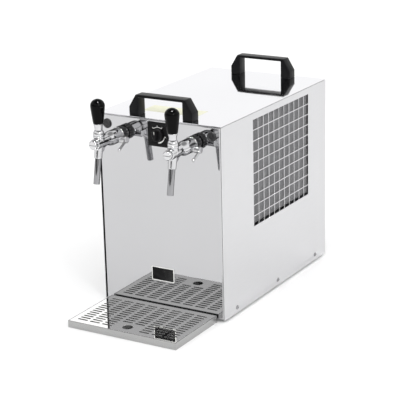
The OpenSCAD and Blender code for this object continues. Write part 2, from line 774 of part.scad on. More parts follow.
// Tap body: flow housing, taper, head, handle neck, spout socket and flow spindle boss
module tap_body() color("gainsboro") difference() {
    union() {
        along_y() rotate_extrude() polygon(concat(
            [[0, head_front], [head_r - 0.8, head_front], [head_r, head_front + 0.8], [head_r, taper_front]],
            [for (i = [1:6]) [head_r + (housing_r - head_r) * (1 - cos(i * 30)) / 2,
                taper_front + taper_len * i / 6]],
            [[housing_r, housing_back - 1], [housing_r - 1, housing_back], [tail_r, housing_back],
                [tail_r, collar_front], [0, collar_front]]));
        translate([0, lever_y, 0]) cylinder(r = bonnet_r - 0.5, h = bonnet_foot_h);
        spout_line() cylinder(r1 = socket_r + 1, r2 = socket_r, h = socket_len);
        translate([-web_t / 2, 0, 0]) sideways() linear_extrude(web_t) polygon(concat(
            [[lever_y, 0], [web_back, 0]],
            arc(web_back, -web_drop, web_drop - head_r + past, 90, web_sweep, 8),
            [[lever_y, -web_drop]]));
        translate([0, flow_y, -flow_drop]) along_x() cylinder(r = flow_hub_r - 0.5, h = flow_reach);
    }
    along_y() rotate_extrude() polygon([[0, head_front - past], [valve_r, head_front - past],
        [valve_r, chamber_tip], [chamber_r, chamber_front], [chamber_r, collar_front + past],
        [0, collar_front + past]]);
    translate([0, lever_y, 0]) cylinder(r = neck_bore_r, h = bonnet_foot_h + past);
    spout_line() cylinder(r = spout_bore_r, h = socket_len);
    spout_line() translate([0, 0, socket_len - spout_seat])
        cylinder(r = spout_r + fit, h = spout_seat + past);
    translate([0, flow_y, -flow_drop]) along_x() cylinder(r = spindle_r + fit, h = flow_reach + past);
}
module left_tap_body() left_place() tap_body();
module right_tap_body() right_place() tap_body();

// Front cap with a coin slot
module tap_cap() color("gainsboro") difference() {
    translate([0, head_front, 0]) along_y() rotate_extrude() polygon([[0, -cap_t], [cap_r - 1.6, -cap_t],
        [cap_r - 0.4, -cap_t + 0.8], [cap_r, -cap_t + 2], [cap_r, -cap_t * 0.35],
        [cap_r - 1, -cap_t * 0.25], [cap_r - 1, 0], [0, 0]]);
    translate([-cap_r, head_front - cap_t - past, -0.9]) cube([2 * cap_r, past + 1.5, 1.8]);
}
module left_tap_cap() left_place() tap_cap();
module right_tap_cap() right_place() tap_cap();

// Bonnet that holds the pivot ball, domed round the pivot
module bonnet() color("gainsboro") translate([0, lever_y, 0]) rotate_extrude() polygon(concat(
    [[neck_bore_r, bonnet_foot_h], [bonnet_r, bonnet_foot_h], [bonnet_r, bonnet_foot_h + 3],
        [bonnet_r - 0.7, bonnet_foot_h + 3.4], [bonnet_r - 0.7, bonnet_foot_h + 4.2],
        [bonnet_r, bonnet_foot_h + 4.6]],
    arc(0, pivot_h, bonnet_r, 0, dome_mouth, 8),
    arc(0, pivot_h, socket_ball_r, socket_mouth, -30, 10),
    [[neck_bore_r, bonnet_foot_h + 2]]));
module left_bonnet() left_place() bonnet();
module right_bonnet() right_place() bonnet();

module spout() color("gainsboro") spout_line() translate([0, 0, socket_len - spout_seat]) difference() {
    cylinder(r = spout_r, h = spout_len);
    translate([0, 0, -past]) cylinder(r = spout_bore_r, h = spout_len + 2 * past);
}
module left_spout() left_place() spout();
module right_spout() right_place() spout();

// Handle lever: pivot ball, stem up into the grip and finger down to the valve plunger
module lever() color("silver") translate([0, lever_y, 0]) {
    translate([0, 0, pivot_h]) sphere(r = ball_r);
    translate([0, 0, pivot_h]) cylinder(r = stem_r, h = grip_foot_h - pivot_h + stem_in_grip);
    translate([0, 0, -finger_r / 2]) cylinder(r = finger_r, h = pivot_h + finger_r / 2);
}
module left_lever() left_place() lever();
module right_lever() right_place() lever();

// Ferrule with a hollow foot that clears the bonnet's dome
module ferrule() color("gainsboro") translate([0, lever_y, 0]) difference() {
    rotate_extrude() polygon([[stem_r + fit, pivot_h + 6], [ferrule_foot_r, pivot_h + 6],
        [ferrule_foot_r, pivot_h + 12], [ferrule_r, grip_foot_h - 2.5], [ferrule_r, grip_foot_h - 0.6],
        [ferrule_r - 0.6, grip_foot_h], [stem_r + fit, grip_foot_h]]);
    translate([0, 0, pivot_h]) sphere(r = dome_gap_r);
}
module left_ferrule() left_place() ferrule();
module right_ferrule() right_place() ferrule();

// Black tap grip, widest near its round top
module tap_grip() color("black") translate([0, lever_y, grip_foot_h]) rotate_extrude() polygon(concat(
    [[stem_r + fit, 0], [tap_grip_foot_r - tap_grip_edge, 0], [tap_grip_foot_r, tap_grip_edge]],
    [for (i = [1:8]) [tap_grip_foot_r + (tap_grip_r - tap_grip_foot_r) * swell(i / 8),
        tap_grip_edge + (widest_h - tap_grip_edge) * i / 8]],
    [for (i = [1:8]) [tap_grip_r * cos(i * 90 / 8),
        widest_h + (tap_grip_len - widest_h) * sin(i * 90 / 8)]],
    [[0, stem_in_grip + past], [stem_r + fit, stem_in_grip + past]]));
// Share of a tap grip's swelling at a share of its rise: nearly straight, rounder near the top
function swell(t) = 0.7 * t + 0.3 * sin(90 * t);
module left_tap_grip() left_place() tap_grip();
module right_tap_grip() right_place() tap_grip();

// Valve plunger in the head's bore, driven by the lever's finger
module plunger() color("dimgray") translate([0, lever_y, 0]) difference() {
    translate([0, plunger_front, 0]) along_y() cylinder(r = plunger_r, h = plunger_back - plunger_front);
    translate([-valve_r, 0, 0]) sideways() linear_extrude(2 * valve_r) polygon([
        [-finger_slot, -valve_r / 2], [finger_slot, -valve_r / 2], [finger_slot, valve_r + past],
        [-finger_slot - finger_flare, valve_r + past], [-finger_slot, finger_r]]);
}
module left_plunger() left_place() plunger();
module right_plunger() right_place() plunger();

// Where the drive pin stands at rest, from the spindle's axis
drive_y = -drive_offset * sin(drive_mid);
drive_z = -drive_offset * cos(drive_mid);

// Flow cone in the chamber, with flutes for the drink and a slot for the drive pin
module flow_cone() color("dimgray") difference() {
    along_y() rotate_extrude() polygon([[0, housing_back - 3], [cone_r - 0.8, housing_back - 3],
        [cone_r, housing_back - 3.8], [cone_r, chamber_front + 6], [cone_r - 0.6, chamber_front + 5.4],
        [4.6, chamber_front - 6], [0, chamber_front - 6]]);
    for (a = [45, 135, 225, 315]) rotate([0, a, 0]) translate([cone_r, chamber_front - 7, 0])
        along_y() cylinder(r = 2, h = housing_len + 10);
    translate([2, flow_y + drive_y - drive_r - 0.35, -flow_drop - drive_offset - drive_r - 0.8])
        cube([chamber_r, 2 * drive_r + 0.7, drive_offset + 2 * drive_r]);
}
module left_flow_cone() left_place() flow_cone();
module right_flow_cone() right_place() flow_cone();

// Flow lever: spindle with its drive pin, hub, sloping arm and ball
module flow_lever() color("gainsboro") translate([0, flow_y, -flow_drop]) {
    along_x() {
        translate([0, 0, spindle_end]) cylinder(r = spindle_r, h = flow_lever_x - spindle_end);
        translate([0, 0, flow_lever_x]) rotate_extrude() polygon([[0, 0], [flow_hub_r, 0],
            [flow_hub_r, flow_hub_t - 1.2], [flow_hub_r - 1.2, flow_hub_t], [0, flow_hub_t]]);
    }
    translate([spindle_end - 5, drive_y, drive_z]) along_x() cylinder(r = drive_r, h = 5.5);
    translate([flow_lever_x + flow_hub_t / 2, 0, 0]) rotate([90 + flow_arm_slope, 0, 0]) {
        cylinder(r = flow_arm_r, h = flow_arm_len);
        translate([0, 0, flow_arm_len]) sphere(r = flow_ball_r);
    }
}
module left_flow_lever() left_place() flow_lever();
module right_flow_lever() right_place() flow_lever();

// Cooling

// Insulated block cast round the drink coils, with an outlet for each tap
module cooling_block() placed() color("white") {
    translate([0, block_front + block_d / 2, base_top]) linear_extrude(block_top - base_top)
        polygon(round_rect(block_w, block_d, 8));
    for (s = [-1, 1]) translate([s * tap_x, panel_recess + shank_in + line_bend, block_top])
        difference() {
            cylinder(r = line_r + 3, h = 6);
            cylinder(r = line_r + fit, h = 6 + past);
        }
}

// Line from the cooling block up and forward to a tap's shank
module drink_line() color("silver") {
    translate([0, shank_in, -line_bend]) sideways() rotate_extrude(angle = 90)
        translate([line_bend, 0]) circle(r = line_r);
    translate([0, shank_in + line_bend, -block_drop]) cylinder(r = line_r, h = block_drop - line_bend);
}
module drink_lines() {
    left_place() drink_line();
    right_place() drink_line();
}

module compressor() placed() color("black") translate([compressor_x, compressor_y, base_top + mount_h]) {
    difference() {
        linear_extrude(compressor_plate_t) polygon(round_rect(plate_w, plate_w, 14));
        for (x = [-1, 1], y = [-1, 1])
            translate([x * mount_offset(), y * mount_offset(), -past])
                cylinder(r = mount_bolt_r + fit, h = compressor_plate_t + 2 * past);
    }
    translate([0, 0, compressor_plate_t]) rotate_extrude() polygon(concat(
        [[0, 0], [compressor_r * 0.6, 0]],
        arc(compressor_r * 0.6, compressor_r * 0.4, compressor_r * 0.4, -90, 0, 8),
        [[compressor_r, rim_z], [compressor_r + rim_w, rim_z],
            [compressor_r + rim_w, rim_z + rim_h], [compressor_r, rim_z + rim_h]],
        arc(compressor_r * 0.4, compressor_h - compressor_r * 0.6, compressor_r * 0.6, 0, 90, 8),
        [[0, compressor_h]]));
    translate([compressor_r - stub_root, 0, compressor_h * 0.4]) along_x()
        cylinder(r = compressor_stub_r, h = compressor_stub_len);
    translate([0, -compressor_r + stub_root, compressor_h * 0.3]) rotate([90, 0, 0])
        cylinder(r = compressor_stub_r * 0.8, h = compressor_stub_len * 0.75);
}
function mount_offset() = plate_w / 2 - 13;

module compressor_mounts() placed() color("dimgray")
    for (x = [-1, 1], y = [-1, 1])
        translate([compressor_x + x * mount_offset(), compressor_y + y * mount_offset(), base_top]) {
            cylinder(r = mount_r, h = mount_h);
            cylinder(r = mount_bolt_r, h = mount_h + compressor_plate_t + 2);
        }

// Stack of upright fins between two end plates
module condenser_fins() placed() color("lightgray") {
    n = floor(2 * fin_half / fin_pitch);
    for (i = [1:n - 1])
        translate([0, condenser_y - fin_half + i * 2 * fin_half / n, 0])
            fin(condenser_in + condenser_t * 0.15, fin_t);
    for (s = [-1, 1]) translate([0, condenser_y + s * fin_half, 0]) fin(condenser_in, 2 * fin_t);
}
module fin(x0, t) translate([0, -t / 2, 0]) upright() linear_extrude(t) difference() {
    translate([x0, fin_low]) square([condenser_out - x0, fin_top - fin_low]);
    for (j = [0:coil_rows - 1]) translate([coil_x(), coil_z(j)]) circle(r = coil_r + fit);
}
function coil_x() = condenser_in + condenser_t * 0.55;
function coil_z(j) = fin_low + (j + 0.5) * coil_pitch;

// One tube that runs back and forth through the fins
module condenser_coil() placed() color("peru") {
    half = fin_half + coil_over;
    for (j = [0:coil_rows - 1])
        translate([coil_x(), condenser_y - half, coil_z(j)]) along_y() cylinder(r = coil_r, h = 2 * half);
    for (j = [0:coil_rows - 2])
        translate([coil_x(), condenser_y + (j % 2 == 0 ? 1 : -1) * half, coil_z(j) + coil_pitch / 2])
            rotate([0, 0, j % 2 == 0 ? 0 : 180]) sideways() rotate([0, 0, -90])
                rotate_extrude(angle = 180) translate([coil_pitch / 2, 0]) circle(r = coil_r);
}

// Sheet channel that stands on the base pan, carries the condenser and rings the fan
module fan_shroud() placed() color("gray") difference() {
    translate([shroud_x, condenser_y - shroud_half, base_top])
        cube([shroud_t + condenser_t, 2 * shroud_half, shroud_top - base_top]);
    translate([condenser_in, condenser_y - shroud_half + shroud_t, base_top - past])
        cube([condenser_t + past, 2 * (shroud_half - shroud_t), shroud_top + 2 * past]);
    translate([shroud_x - past, condenser_y, vent_mid_z]) along_x()
        cylinder(r = fan_r * 1.06, h = shroud_t + 2 * past);
}

// Motor on a strap that stands off the shroud
module fan_motor() placed() color("dimgray") translate([0, condenser_y, vent_mid_z]) difference() {
    union() {
        translate([motor_x - fan_motor_len, 0, 0]) along_x() rotate_extrude() polygon([[0, 0],
            [fan_motor_r - motor_edge, 0], [fan_motor_r, motor_edge],
            [fan_motor_r, fan_motor_len - motor_edge], [fan_motor_r - motor_edge, fan_motor_len],
            [0, fan_motor_len]]);
        translate([motor_x - fan_motor_len / 2 - motor_strap_t, -strap_half, -strap_leg_w / 2])
            cube([motor_strap_t, 2 * strap_half, strap_leg_w]);
        for (s = [-1, 1])
            translate([motor_x - fan_motor_len / 2 - motor_strap_t,
                s * strap_half - (s > 0 ? motor_strap_t : 0), -strap_leg_w / 2])
                cube([shroud_x - motor_x + fan_motor_len / 2 + motor_strap_t, motor_strap_t, strap_leg_w]);
    }
    translate([motor_x - shaft_reach - past, 0, 0]) along_x()
        cylinder(r = fan_shaft_r + fit, h = shaft_reach + 2 * past);
}

// Fan wheel: hub, shaft and curved blades
module fan_blades() placed() color("black") translate([fan_x, condenser_y, vent_mid_z]) along_x() {
    cylinder(r = fan_hub_r, h = fan_w);
    translate([0, 0, motor_x - shaft_reach - fan_x])
        cylinder(r = fan_shaft_r, h = fan_x - motor_x + shaft_reach + blade_edge);
    for (i = [0:fan_blades_n - 1]) rotate(i * 360 / fan_blades_n) fan_blade();
}
module fan_blade() intersection() {
    translate([0, 0, blade_edge]) cylinder(r = fan_r, h = fan_w - 2 * blade_edge);
    translate([0, -fan_r * 0.42, fan_w / 2 - blade_arc_r * 0.94]) rotate([0, 90, 0]) difference() {
        cylinder(r = blade_arc_r + blade_half_t, h = fan_r + past, $fn = 96);
        translate([0, 0, -past])
            cylinder(r = blade_arc_r - blade_half_t, h = fan_r + 3 * past, $fn = 96);
    }
    linear_extrude(fan_w) polygon([[fan_hub_r * 0.8, -fan_hub_r / 6], [fan_r * 1.03, -fan_r * 0.32],
        [fan_r * 1.03, fan_r * 0.3], [fan_hub_r * 0.8, fan_hub_r * 0.42]]);
}

// Carbonation and supply

// Upright pressure vessel on a skirt, with three stubs in its head
module carbonator() placed() color("silver") translate([vessel_x, vessel_y, base_top]) {
    rotate_extrude() polygon(concat([[vessel_r * 0.8, 0], [vessel_r * 0.84, 0], [vessel_r * 0.84, skirt_h],
        [vessel_r, skirt_h + vessel_r * 0.2], [vessel_r, vessel_h - vessel_r * 0.5]],
        [for (i = [1:8]) [vessel_r * cos(i * 90 / 8), vessel_h - vessel_r * 0.5 * (1 - sin(i * 90 / 8))]],
        [[0, skirt_h], [vessel_r * 0.8, skirt_h]]));
    for (a = [0:120:240]) rotate(a) translate([vessel_r * 0.45, 0, vessel_h - vessel_r * 0.3])
        cylinder(r = vessel_r / 8, h = vessel_r * 0.5);
}

// Rotary pump and its motor on a saddle foot
module water_pump() placed() color("steelblue") translate([pump_x, pump_y, pump_z]) {
    along_x() rotate_extrude() polygon([[0, 0], [pump_r - pump_edge, 0], [pump_r, pump_edge],
        [pump_r, pump_len], [pump_head_r, pump_len], [pump_head_r, pump_end - pump_edge],
        [pump_head_r - pump_edge, pump_end], [0, pump_end]]);
    translate([pump_len * 0.2, -pump_r * 0.8, base_top - pump_z])
        cube([pump_len * 0.6, pump_r * 1.6, pump_z - base_top]);
    translate([pump_len + pump_head_len / 2, 0, 0])
        cylinder(r = pump_head_len / 5, h = pump_head_r + pump_head_len * 0.4);
}

// Control box beside the fan shroud, in front of the mains inlet
module control_box() placed() color("darkgray")
    translate([control_x, control_y, base_top])
        linear_extrude(control_h) polygon(round_rect(control_w, control_d, 3));

// Socket for a mains lead, with its three pins
module mains_inlet() placed() color("black")
    translate([mains_x, rear_face, inlet_abs_z]) {
        difference() {
            union() {
                translate([0, mains_lip_t, 0]) mirror([0, 1, 0]) upright() linear_extrude(mains_lip_t)
                    polygon(round_rect(mains_w * 1.6, mains_h + mains_w * 0.26, mains_lip_t));
                translate([-mains_w / 2, -mains_depth, -mains_h / 2])
                    cube([mains_w, mains_depth + past, mains_h]);
            }
            translate([-mains_w / 2 + mains_wall, -socket_depth, -mains_h / 2 + mains_wall])
                cube([mains_w - 2 * mains_wall, socket_depth + mains_lip_t + past, mains_h - 2 * mains_wall]);
        }
        for (i = [-1:1])
            translate([i * pin_pitch - pin_w / 2, -socket_depth - pin_root,
                (i == 0 ? 1 : -1) * pin_rise - pin_h / 2])
                cube([pin_w, pin_len, pin_h]);
    }

// Push-in inlet through the rear panel, open to the back
module inlet(bore_r) translate([0, rear_face, inlet_abs_z]) along_y() rotate_extrude() polygon([
    [0, -inlet_in], [inlet_neck_r, -inlet_in], [inlet_neck_r, 0], [inlet_r, 0], [inlet_r, inlet_out / 2],
    [inlet_ring_r, inlet_out / 2 + past], [inlet_ring_r, inlet_out - past],
    [inlet_ring_r - past, inlet_out], [bore_r, inlet_out], [bore_r, inlet_out - inlet_bore_len],
    [0, inlet_out - inlet_bore_len]]);
module water_inlet() placed() color("royalblue") translate([inlet_x, 0, 0]) inlet(water_bore_r);
module gas_inlet() placed() color("dimgray") translate([inlet_x + inlet_spacing, 0, 0]) inlet(gas_bore_r);

// Drip tray

module drip_tray() placed() color("silver") difference() {
    translate([-tray_w / 2, tray_front, 0]) cube([tray_w, tray_d, tray_h]);
    translate([-tray_w / 2 + tray_t, tray_front + tray_t, tray_t])
        cube([tray_w - 2 * tray_t, tray_d - 2 * tray_t, tray_h]);
}

// Slotted plate with turned-down edges that stand on the tray's floor
module drip_grate() placed() color("lightgray") difference() {
    translate([-grate_w / 2, grate_front, tray_t]) cube([grate_w, grate_d, tray_h - tray_t]);
    translate([-grate_w / 2 + tray_t, grate_front + tray_t, tray_t - past])
        cube([grate_w - 2 * tray_t, grate_d - 2 * tray_t, tray_h - 2 * tray_t + past]);
    translate([0, 0, tray_h - tray_t - past]) linear_extrude(tray_t + 2 * past) {
        for (i = [0:slot_cols - 1], j = [0:slot_rows - 1])
            if (!near_finger_hole(slot_x(i), slot_y(j)))
                translate([slot_x(i), slot_y(j)]) slot_outline(slot_len, slot_w);
        translate([0, finger_hole_y]) circle(r = finger_hole_r);
    }
}
function slot_x(i) = slot_x0 + i * slot_pitch_x;
function slot_y(j) = slot_y0 + j * slot_pitch_y;
function near_finger_hole(x, y) = abs(x) < slot_len / 2 + finger_hole_r
    && abs(y - finger_hole_y) < slot_w / 2 + finger_hole_r + 2;

base_pan();
feet();
left_panel();
right_panel();
top_cover();
front_panel();
rear_panel();
side_screws();
front_grip();
rear_grip();
grip_screws();
badge_plate();
hole_plugs();
dial_plate();
thermostat_knob();
thermostat_body();
left_shank();
right_shank();
shank_nuts();
left_union_nut();
right_union_nut();
left_tap_body();
right_tap_body();
left_tap_cap();
right_tap_cap();
left_bonnet();
right_bonnet();
left_spout();
right_spout();
left_lever();
right_lever();
left_ferrule();
right_ferrule();
left_tap_grip();
right_tap_grip();
left_plunger();
right_plunger();
left_flow_cone();
right_flow_cone();
left_flow_lever();
right_flow_lever();
cooling_block();
drink_lines();
compressor();
compressor_mounts();
condenser_fins();
condenser_coil();
fan_shroud();
fan_motor();
fan_blades();
carbonator();
water_pump();
control_box();
mains_inlet();
water_inlet();
gas_inlet();
drip_tray();
drip_grate();
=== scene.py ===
"""Looks of the countertop soda water dispenser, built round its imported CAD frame."""

import math

import bmesh
import bpy
from bpy.props import FloatProperty, FloatVectorProperty, IntProperty, PointerProperty
from bpy.types import Operator, Panel, PropertyGroup
from mathutils import Matrix, Vector


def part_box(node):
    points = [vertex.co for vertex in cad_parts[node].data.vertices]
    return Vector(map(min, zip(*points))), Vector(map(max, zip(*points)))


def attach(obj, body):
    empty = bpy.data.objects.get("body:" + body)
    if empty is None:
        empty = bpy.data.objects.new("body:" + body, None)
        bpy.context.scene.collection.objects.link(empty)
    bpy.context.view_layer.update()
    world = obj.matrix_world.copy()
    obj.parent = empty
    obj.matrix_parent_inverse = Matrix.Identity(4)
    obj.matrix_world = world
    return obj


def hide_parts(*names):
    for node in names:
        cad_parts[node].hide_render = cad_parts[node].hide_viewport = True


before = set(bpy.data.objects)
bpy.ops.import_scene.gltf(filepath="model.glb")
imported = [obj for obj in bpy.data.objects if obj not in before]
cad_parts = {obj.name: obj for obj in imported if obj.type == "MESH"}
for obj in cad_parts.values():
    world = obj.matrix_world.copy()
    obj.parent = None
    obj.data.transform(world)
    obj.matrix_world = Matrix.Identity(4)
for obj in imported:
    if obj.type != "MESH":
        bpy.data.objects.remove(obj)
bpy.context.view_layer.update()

bl_info = {
    "name": "Soda water dispenser looks",
    "version": (1, 0, 0),
    "blender": (4, 5, 0),
    "location": "3D View > Sidebar > Dispenser",
    "description": "Dresses the packed soda water dispenser in steel, chrome and black plastic",
    "category": "Object",
}

MM = 0.001
X_AXIS = Vector((1, 0, 0))
Y_AXIS = Vector((0, 1, 0))
Z_AXIS = Vector((0, 0, 1))
SIDES = ("left", "right")
MERGE = 1e-6

# Studio: lengths in metres, powers in watts, and the world's tones over the height of a direction
FLOOR_SIDE = 120
FLOOR_CUTS = 8
DARK_SIDE = (-0.4, -0.75, -0.62)
DARK_SPAN = (0.3, 0.75)
DARK_STRENGTH = (1.15, 0.25)
SKY_TONES = ((0.05, 0.5), (0.19, 1.0), (0.62, 1.0), (0.85, 0.3))
LIGHT_AIM = Vector((0, 0, 0.2))
LIGHTS = (
    ("top_light", "SUN", (0.3, -0.2, 2.6), 1.5, math.radians(100)),
    ("key_light", "AREA", (1.9, -1.5, 1.6), 8, 0.3),
    ("left_light", "AREA", (-2.2, -1.8, 1.6), 5, 1.2),
    ("spark_light", "AREA", (0.4, -0.6, 2.6), 110, 0.45),
)
MIRRORED_LIGHTS = ("key_light", "spark_light")
SPARK_LIGHT = "spark_light"

# The photo's camera: its turn in degrees, its place, lens and sensor in millimetres
CAMERA_TURN = (31.019, 17.567, -1.424)
CAMERA_PLACE = (1515.942, -2525.533, 1129.440)
CAMERA_LENS = 130.84
CAMERA_SENSOR = 36
CAMERA_REACH = 60

# Sizes in millimetres that the boxes of the frame don't give
SHEET = 1.2
SCREW_HOLE = 2.8
SHANK_HOLE = 8.3
SPINDLE_HOLE = 4
GRIP_LEG = 22.5
GRIP_BAR = 5.5
GRIP_SLOPE = (16, 26)
PLUG_LIP = 2.05
PLUG_WALL = 1.4
PLUG_PLAY = 0.05
NUT_RIBS = 14
RIB_STEPS = 10
RIB_DEPTH = 1.9
RIB_FULLNESS = 0.6
NUT_BORES = (11.05, 8.05)
NUT_WALL = 5
CAP_SLOT = (40, 3, 1.8)
BONNET_BORE = 8.2
PIVOT_RISE = 6.6
BALL_HOLLOW = 7.3
SPOUT_LEAN = 10.8
SPOUT_RADII = (4.9, 6.35)
SPOUT_SPAN = (16, 83)
STEM_BORE = 3.55
KNOB_NECK = 10.4
KNOB_FOOT = 0.8
KNOB_SWELL = 0.72
KNOB_STEPS = 14
FERRULE_WAIST = (7.9, 5.6)
FERRULE_LIP = 7.8
FERRULE_HOLLOW = 11.5
DIAL_DEPTH = 15
ARC_RADII = (14.6, 15.7)
ARC_TICK = 16.2
TICK_RIM = 18.6
WEDGE_FOOT = 15.2
WEDGE_SWELL = (15.9, 18.4)
BADGE_RIM = 0.9
BADGE_STEP = 0.25
BADGE_INSET = 0.35
LABEL_SIZE = (129, 47)
LABEL_PLACE = (-4.5, -85.7)
INLET_EDGE = 0.3
SHEET_REACH = 9
PANEL_REACH = 30

# Angles in degrees, and the steps round a hole
PLATE_CORNER = 28
ARC_ANGLES = (58, 95, 132)
WEDGE_ANGLES = (-18, -82)
WEDGE_GAP = 6
TICK_HALF = 2
HOLE_STEPS = 48
SMALL_HOLE_STEPS = 32

# Painted shade: the darker tone of the steel on cut walls that lie in shade, and the bands in
# millimetres left clear of it
VENT_PAINTED_SHADE = 0.1
SLOT_PAINTED_SHADE = 0.12
PAINTED_SHADE_PLAY = 0.05
SLOT_EDGE = 0.25


def mm(*numbers):
    """A vector given in millimetres."""
    return Vector(numbers) * MM


def length_prop(name, description, default):
    """A length that a user may change, given in millimetres."""
    return FloatProperty(
        name=name, description=description, default=default * MM, unit="LENGTH", precision=5
    )


def colour_prop(name, description, default):
    """A colour that a user may change."""
    return FloatVectorProperty(
        name=name, description=description, default=default, subtype="COLOR", size=3, min=0, max=1
    )


class DispenserSizes(PropertyGroup):
    """Small sizes that the looks add to the CAD solids."""

    sheet_edge: length_prop("Sheet edge", "Rounding of cut and folded sheet edges", 0.35)
    panel_bend: length_prop("Panel bend", "Bend radius round the front panel", 4.0)
    grip_edge: length_prop("Grip edge", "Rounding of the bridge grips' edges", 1.3)
    turned_edge: length_prop("Turned edge", "Rounding of turned chrome and plastic edges", 0.5)
    print_height: length_prop("Print height", "Thickness of printed marks and labels", 0.12)
    cast_voxel: length_prop("Casting grain", "Grain at which the tap castings are blended", 0.5)
    rounds: IntProperty(
        name="Turning steps", description="Steps round a turned piece", default=72, min=24
    )


class DispenserColours(PropertyGroup):
    """Colours of the dispenser's finishes."""

    mirror: colour_prop("Mirror steel", "Polished front panel", (0.54, 0.54, 0.55))
    polished: colour_prop("Polished steel", "Top cover", (0.75, 0.75, 0.77))
    satin: colour_prop("Satin steel", "Side and rear panels", (0.66, 0.66, 0.67))
    tray: colour_prop("Tray steel", "Drip tray", (0.43, 0.43, 0.428))
    grate: colour_prop("Grate steel", "Drip grate", (0.93, 0.93, 0.92))
    chrome: colour_prop("Chrome", "Taps", (0.64, 0.64, 0.65))
    tube: colour_prop("Tube steel", "Spouts", (0.34, 0.34, 0.35))
    black: colour_prop("Black plastic", "Grips, nuts, dial and plugs", (0.010, 0.010, 0.011))
    print_white: colour_prop("Print", "Marks on the dial", (0.86, 0.86, 0.84))
    label: colour_prop("Label", "Blank label on the top cover", (0.72, 0.72, 0.54))
    floor: colour_prop("Floor", "Floor under the dispenser", (0.92, 0.92, 0.92))


class Wire:
    """A shader socket that takes part in Python arithmetic."""

    def __init__(self, board, socket):
        self.board = board
        self.socket = socket

    def math(self, operation, first, second):
        return self.board.node("ShaderNodeMath", {"operation": operation}, {0: first, 1: second})

    def __add__(self, other):
        return self.math("ADD", self, other)

    def __sub__(self, other):
        return self.math("SUBTRACT", self, other)

    def __rsub__(self, other):
        return self.math("SUBTRACT", other, self)

    def __mul__(self, other):
        return self.math("MULTIPLY", self, other)

    __radd__ = __add__
    __rmul__ = __mul__


class Board:
    """A node tree that is wired up from Python expressions."""

    def __init__(self, tree):
        self.tree = tree

    def node(self, kind, settings=None, sockets=None, output=0):
        """Adds a node, sets it up, feeds its sockets and gives one of its outputs."""
        made = self.tree.nodes.new(kind)
        for key, value in (settings or {}).items():
            if key == "stops":
                stops = made.color_ramp.elements
                while len(stops) < len(value):
                    stops.new(1.0)
                for stop, (place, tone) in zip(stops, value):
                    stop.position = place
                    stop.color = (tone, tone, tone, 1)
            else:
                setattr(made, key, value)
        for key, value in (sockets or {}).items():
            self.feed(made.inputs[key], value)
        return Wire(self, made.outputs[output])

    def feed(self, socket, value):
        """Links a wire to a socket, or sets the socket's own value."""
        if isinstance(value, Wire):
            self.tree.links.new(value.socket, socket)
        else:
            socket.default_value = value


class Finish(Board):
    """A node material, with the constants of its shader set on the shader's own sockets."""

    def __init__(self, name, constants):
        self.material = bpy.data.materials.new(name)
        self.material.use_nodes = True
        super().__init__(self.material.node_tree)
        self.shader = self.tree.nodes["Principled BSDF"]
        for socket, value in constants.items():
            self.shader.inputs[socket].default_value = value

    def wear(self, **sockets):
        """Feeds what varies over the surface to the shader."""
        for name, value in sockets.items():
            self.feed(self.shader.inputs[name.replace("_", " ")], value)

    def place(self, stretch=(1, 1, 1)):
        """Object coordinates, stretched along the axes."""
        point = self.node("ShaderNodeTexCoord", output="Object")
        return self.node("ShaderNodeMapping", sockets={"Vector": point, "Scale": stretch})

    def noise(self, scale, detail=3, stretch=(1, 1, 1)):
        """Soft noise from 0 to 1."""
        sockets = {"Vector": self.place(stretch), "Scale": scale, "Detail": detail}
        return self.node("ShaderNodeTexNoise", sockets=sockets)

    def cells(self, scale):
        """Tone of random cells, as on zinc spangle."""
        sockets = {"Vector": self.place(), "Scale": scale}
        colour = self.node("ShaderNodeTexVoronoi", sockets=sockets, output="Color")
        return self.node("ShaderNodeSeparateColor", sockets={"Color": colour})

    def step(self, wire, low, high):
        """Maps the span from low to high onto 0 to 1."""
        stops = ((low, 0), (high, 1))
        return self.node("ShaderNodeValToRGB", {"stops": stops}, {"Fac": wire})

    def shade(self, factor, *colours):
        """Mixes two colours."""
        sockets = {0: factor}
        for place, colour in zip((6, 7), colours):
            sockets[place] = colour if isinstance(colour, Wire) else (*colour, 1)
        return self.node("ShaderNodeMix", {"data_type": "RGBA"}, sockets, output=2)

    def within(self, low, high):
        """1 inside a box, 0 outside it."""
        point = self.node("ShaderNodeTexCoord", output="Object")
        sides = []
        for axis, first, last in zip("XYZ", low, high):
            place = self.node("ShaderNodeSeparateXYZ", sockets={"Vector": point}, output=axis)
            reach = {0: place, 1: (first + last) / 2, 2: (last - first) / 2}
            sides.append(self.node("ShaderNodeMath", {"operation": "COMPARE"}, reach))
        return sides[0] * sides[1] * sides[2]

    def painted_shade(self, tone, colour, painted_shade_box):
        """Paints shade: darkens a tone inside a box, where one is given as its corners and a
        factor.
        """
        if not painted_shade_box:
            return tone
        low, high, factor = painted_shade_box
        return self.shade(self.within(low, high), tone, toned(colour, factor))

    def bump(self, height, depth, strength=1.0):
        """Raises the surface by a height that varies over it."""
        sockets = {"Height": height, "Distance": depth, "Strength": strength}
        self.wear(Normal=self.node("ShaderNodeBump", sockets=sockets))


def toned(colour, factor):
    """A colour made lighter or darker."""
    return tuple(min(1.0, part * factor) for part in colour)


def polished_metal(
    name, colour, rough, ripple=0.0, smudge=0.03, contrast=0.03, rim=1.0, painted_shade_box=None
):
    """Bright metal with faint smudges, rippled reflections and a rim tone at grazing angles."""
    made = Finish(name, {"Metallic": 1.0, "Specular Tint": (rim, rim, rim, 1)})
    cloud = made.noise(14, 4)
    tone = made.shade(made.noise(5), toned(colour, 1 - contrast), toned(colour, 1 + contrast))
    # Painted shade: the tone is darkened inside the box given, where one is given
    tone = made.painted_shade(tone, colour, painted_shade_box)
    made.wear(Base_Color=tone, Roughness=rough + smudge * made.step(cloud, 0.45, 0.75))
    if ripple:
        made.bump(made.noise(7, 1), ripple)
    return made


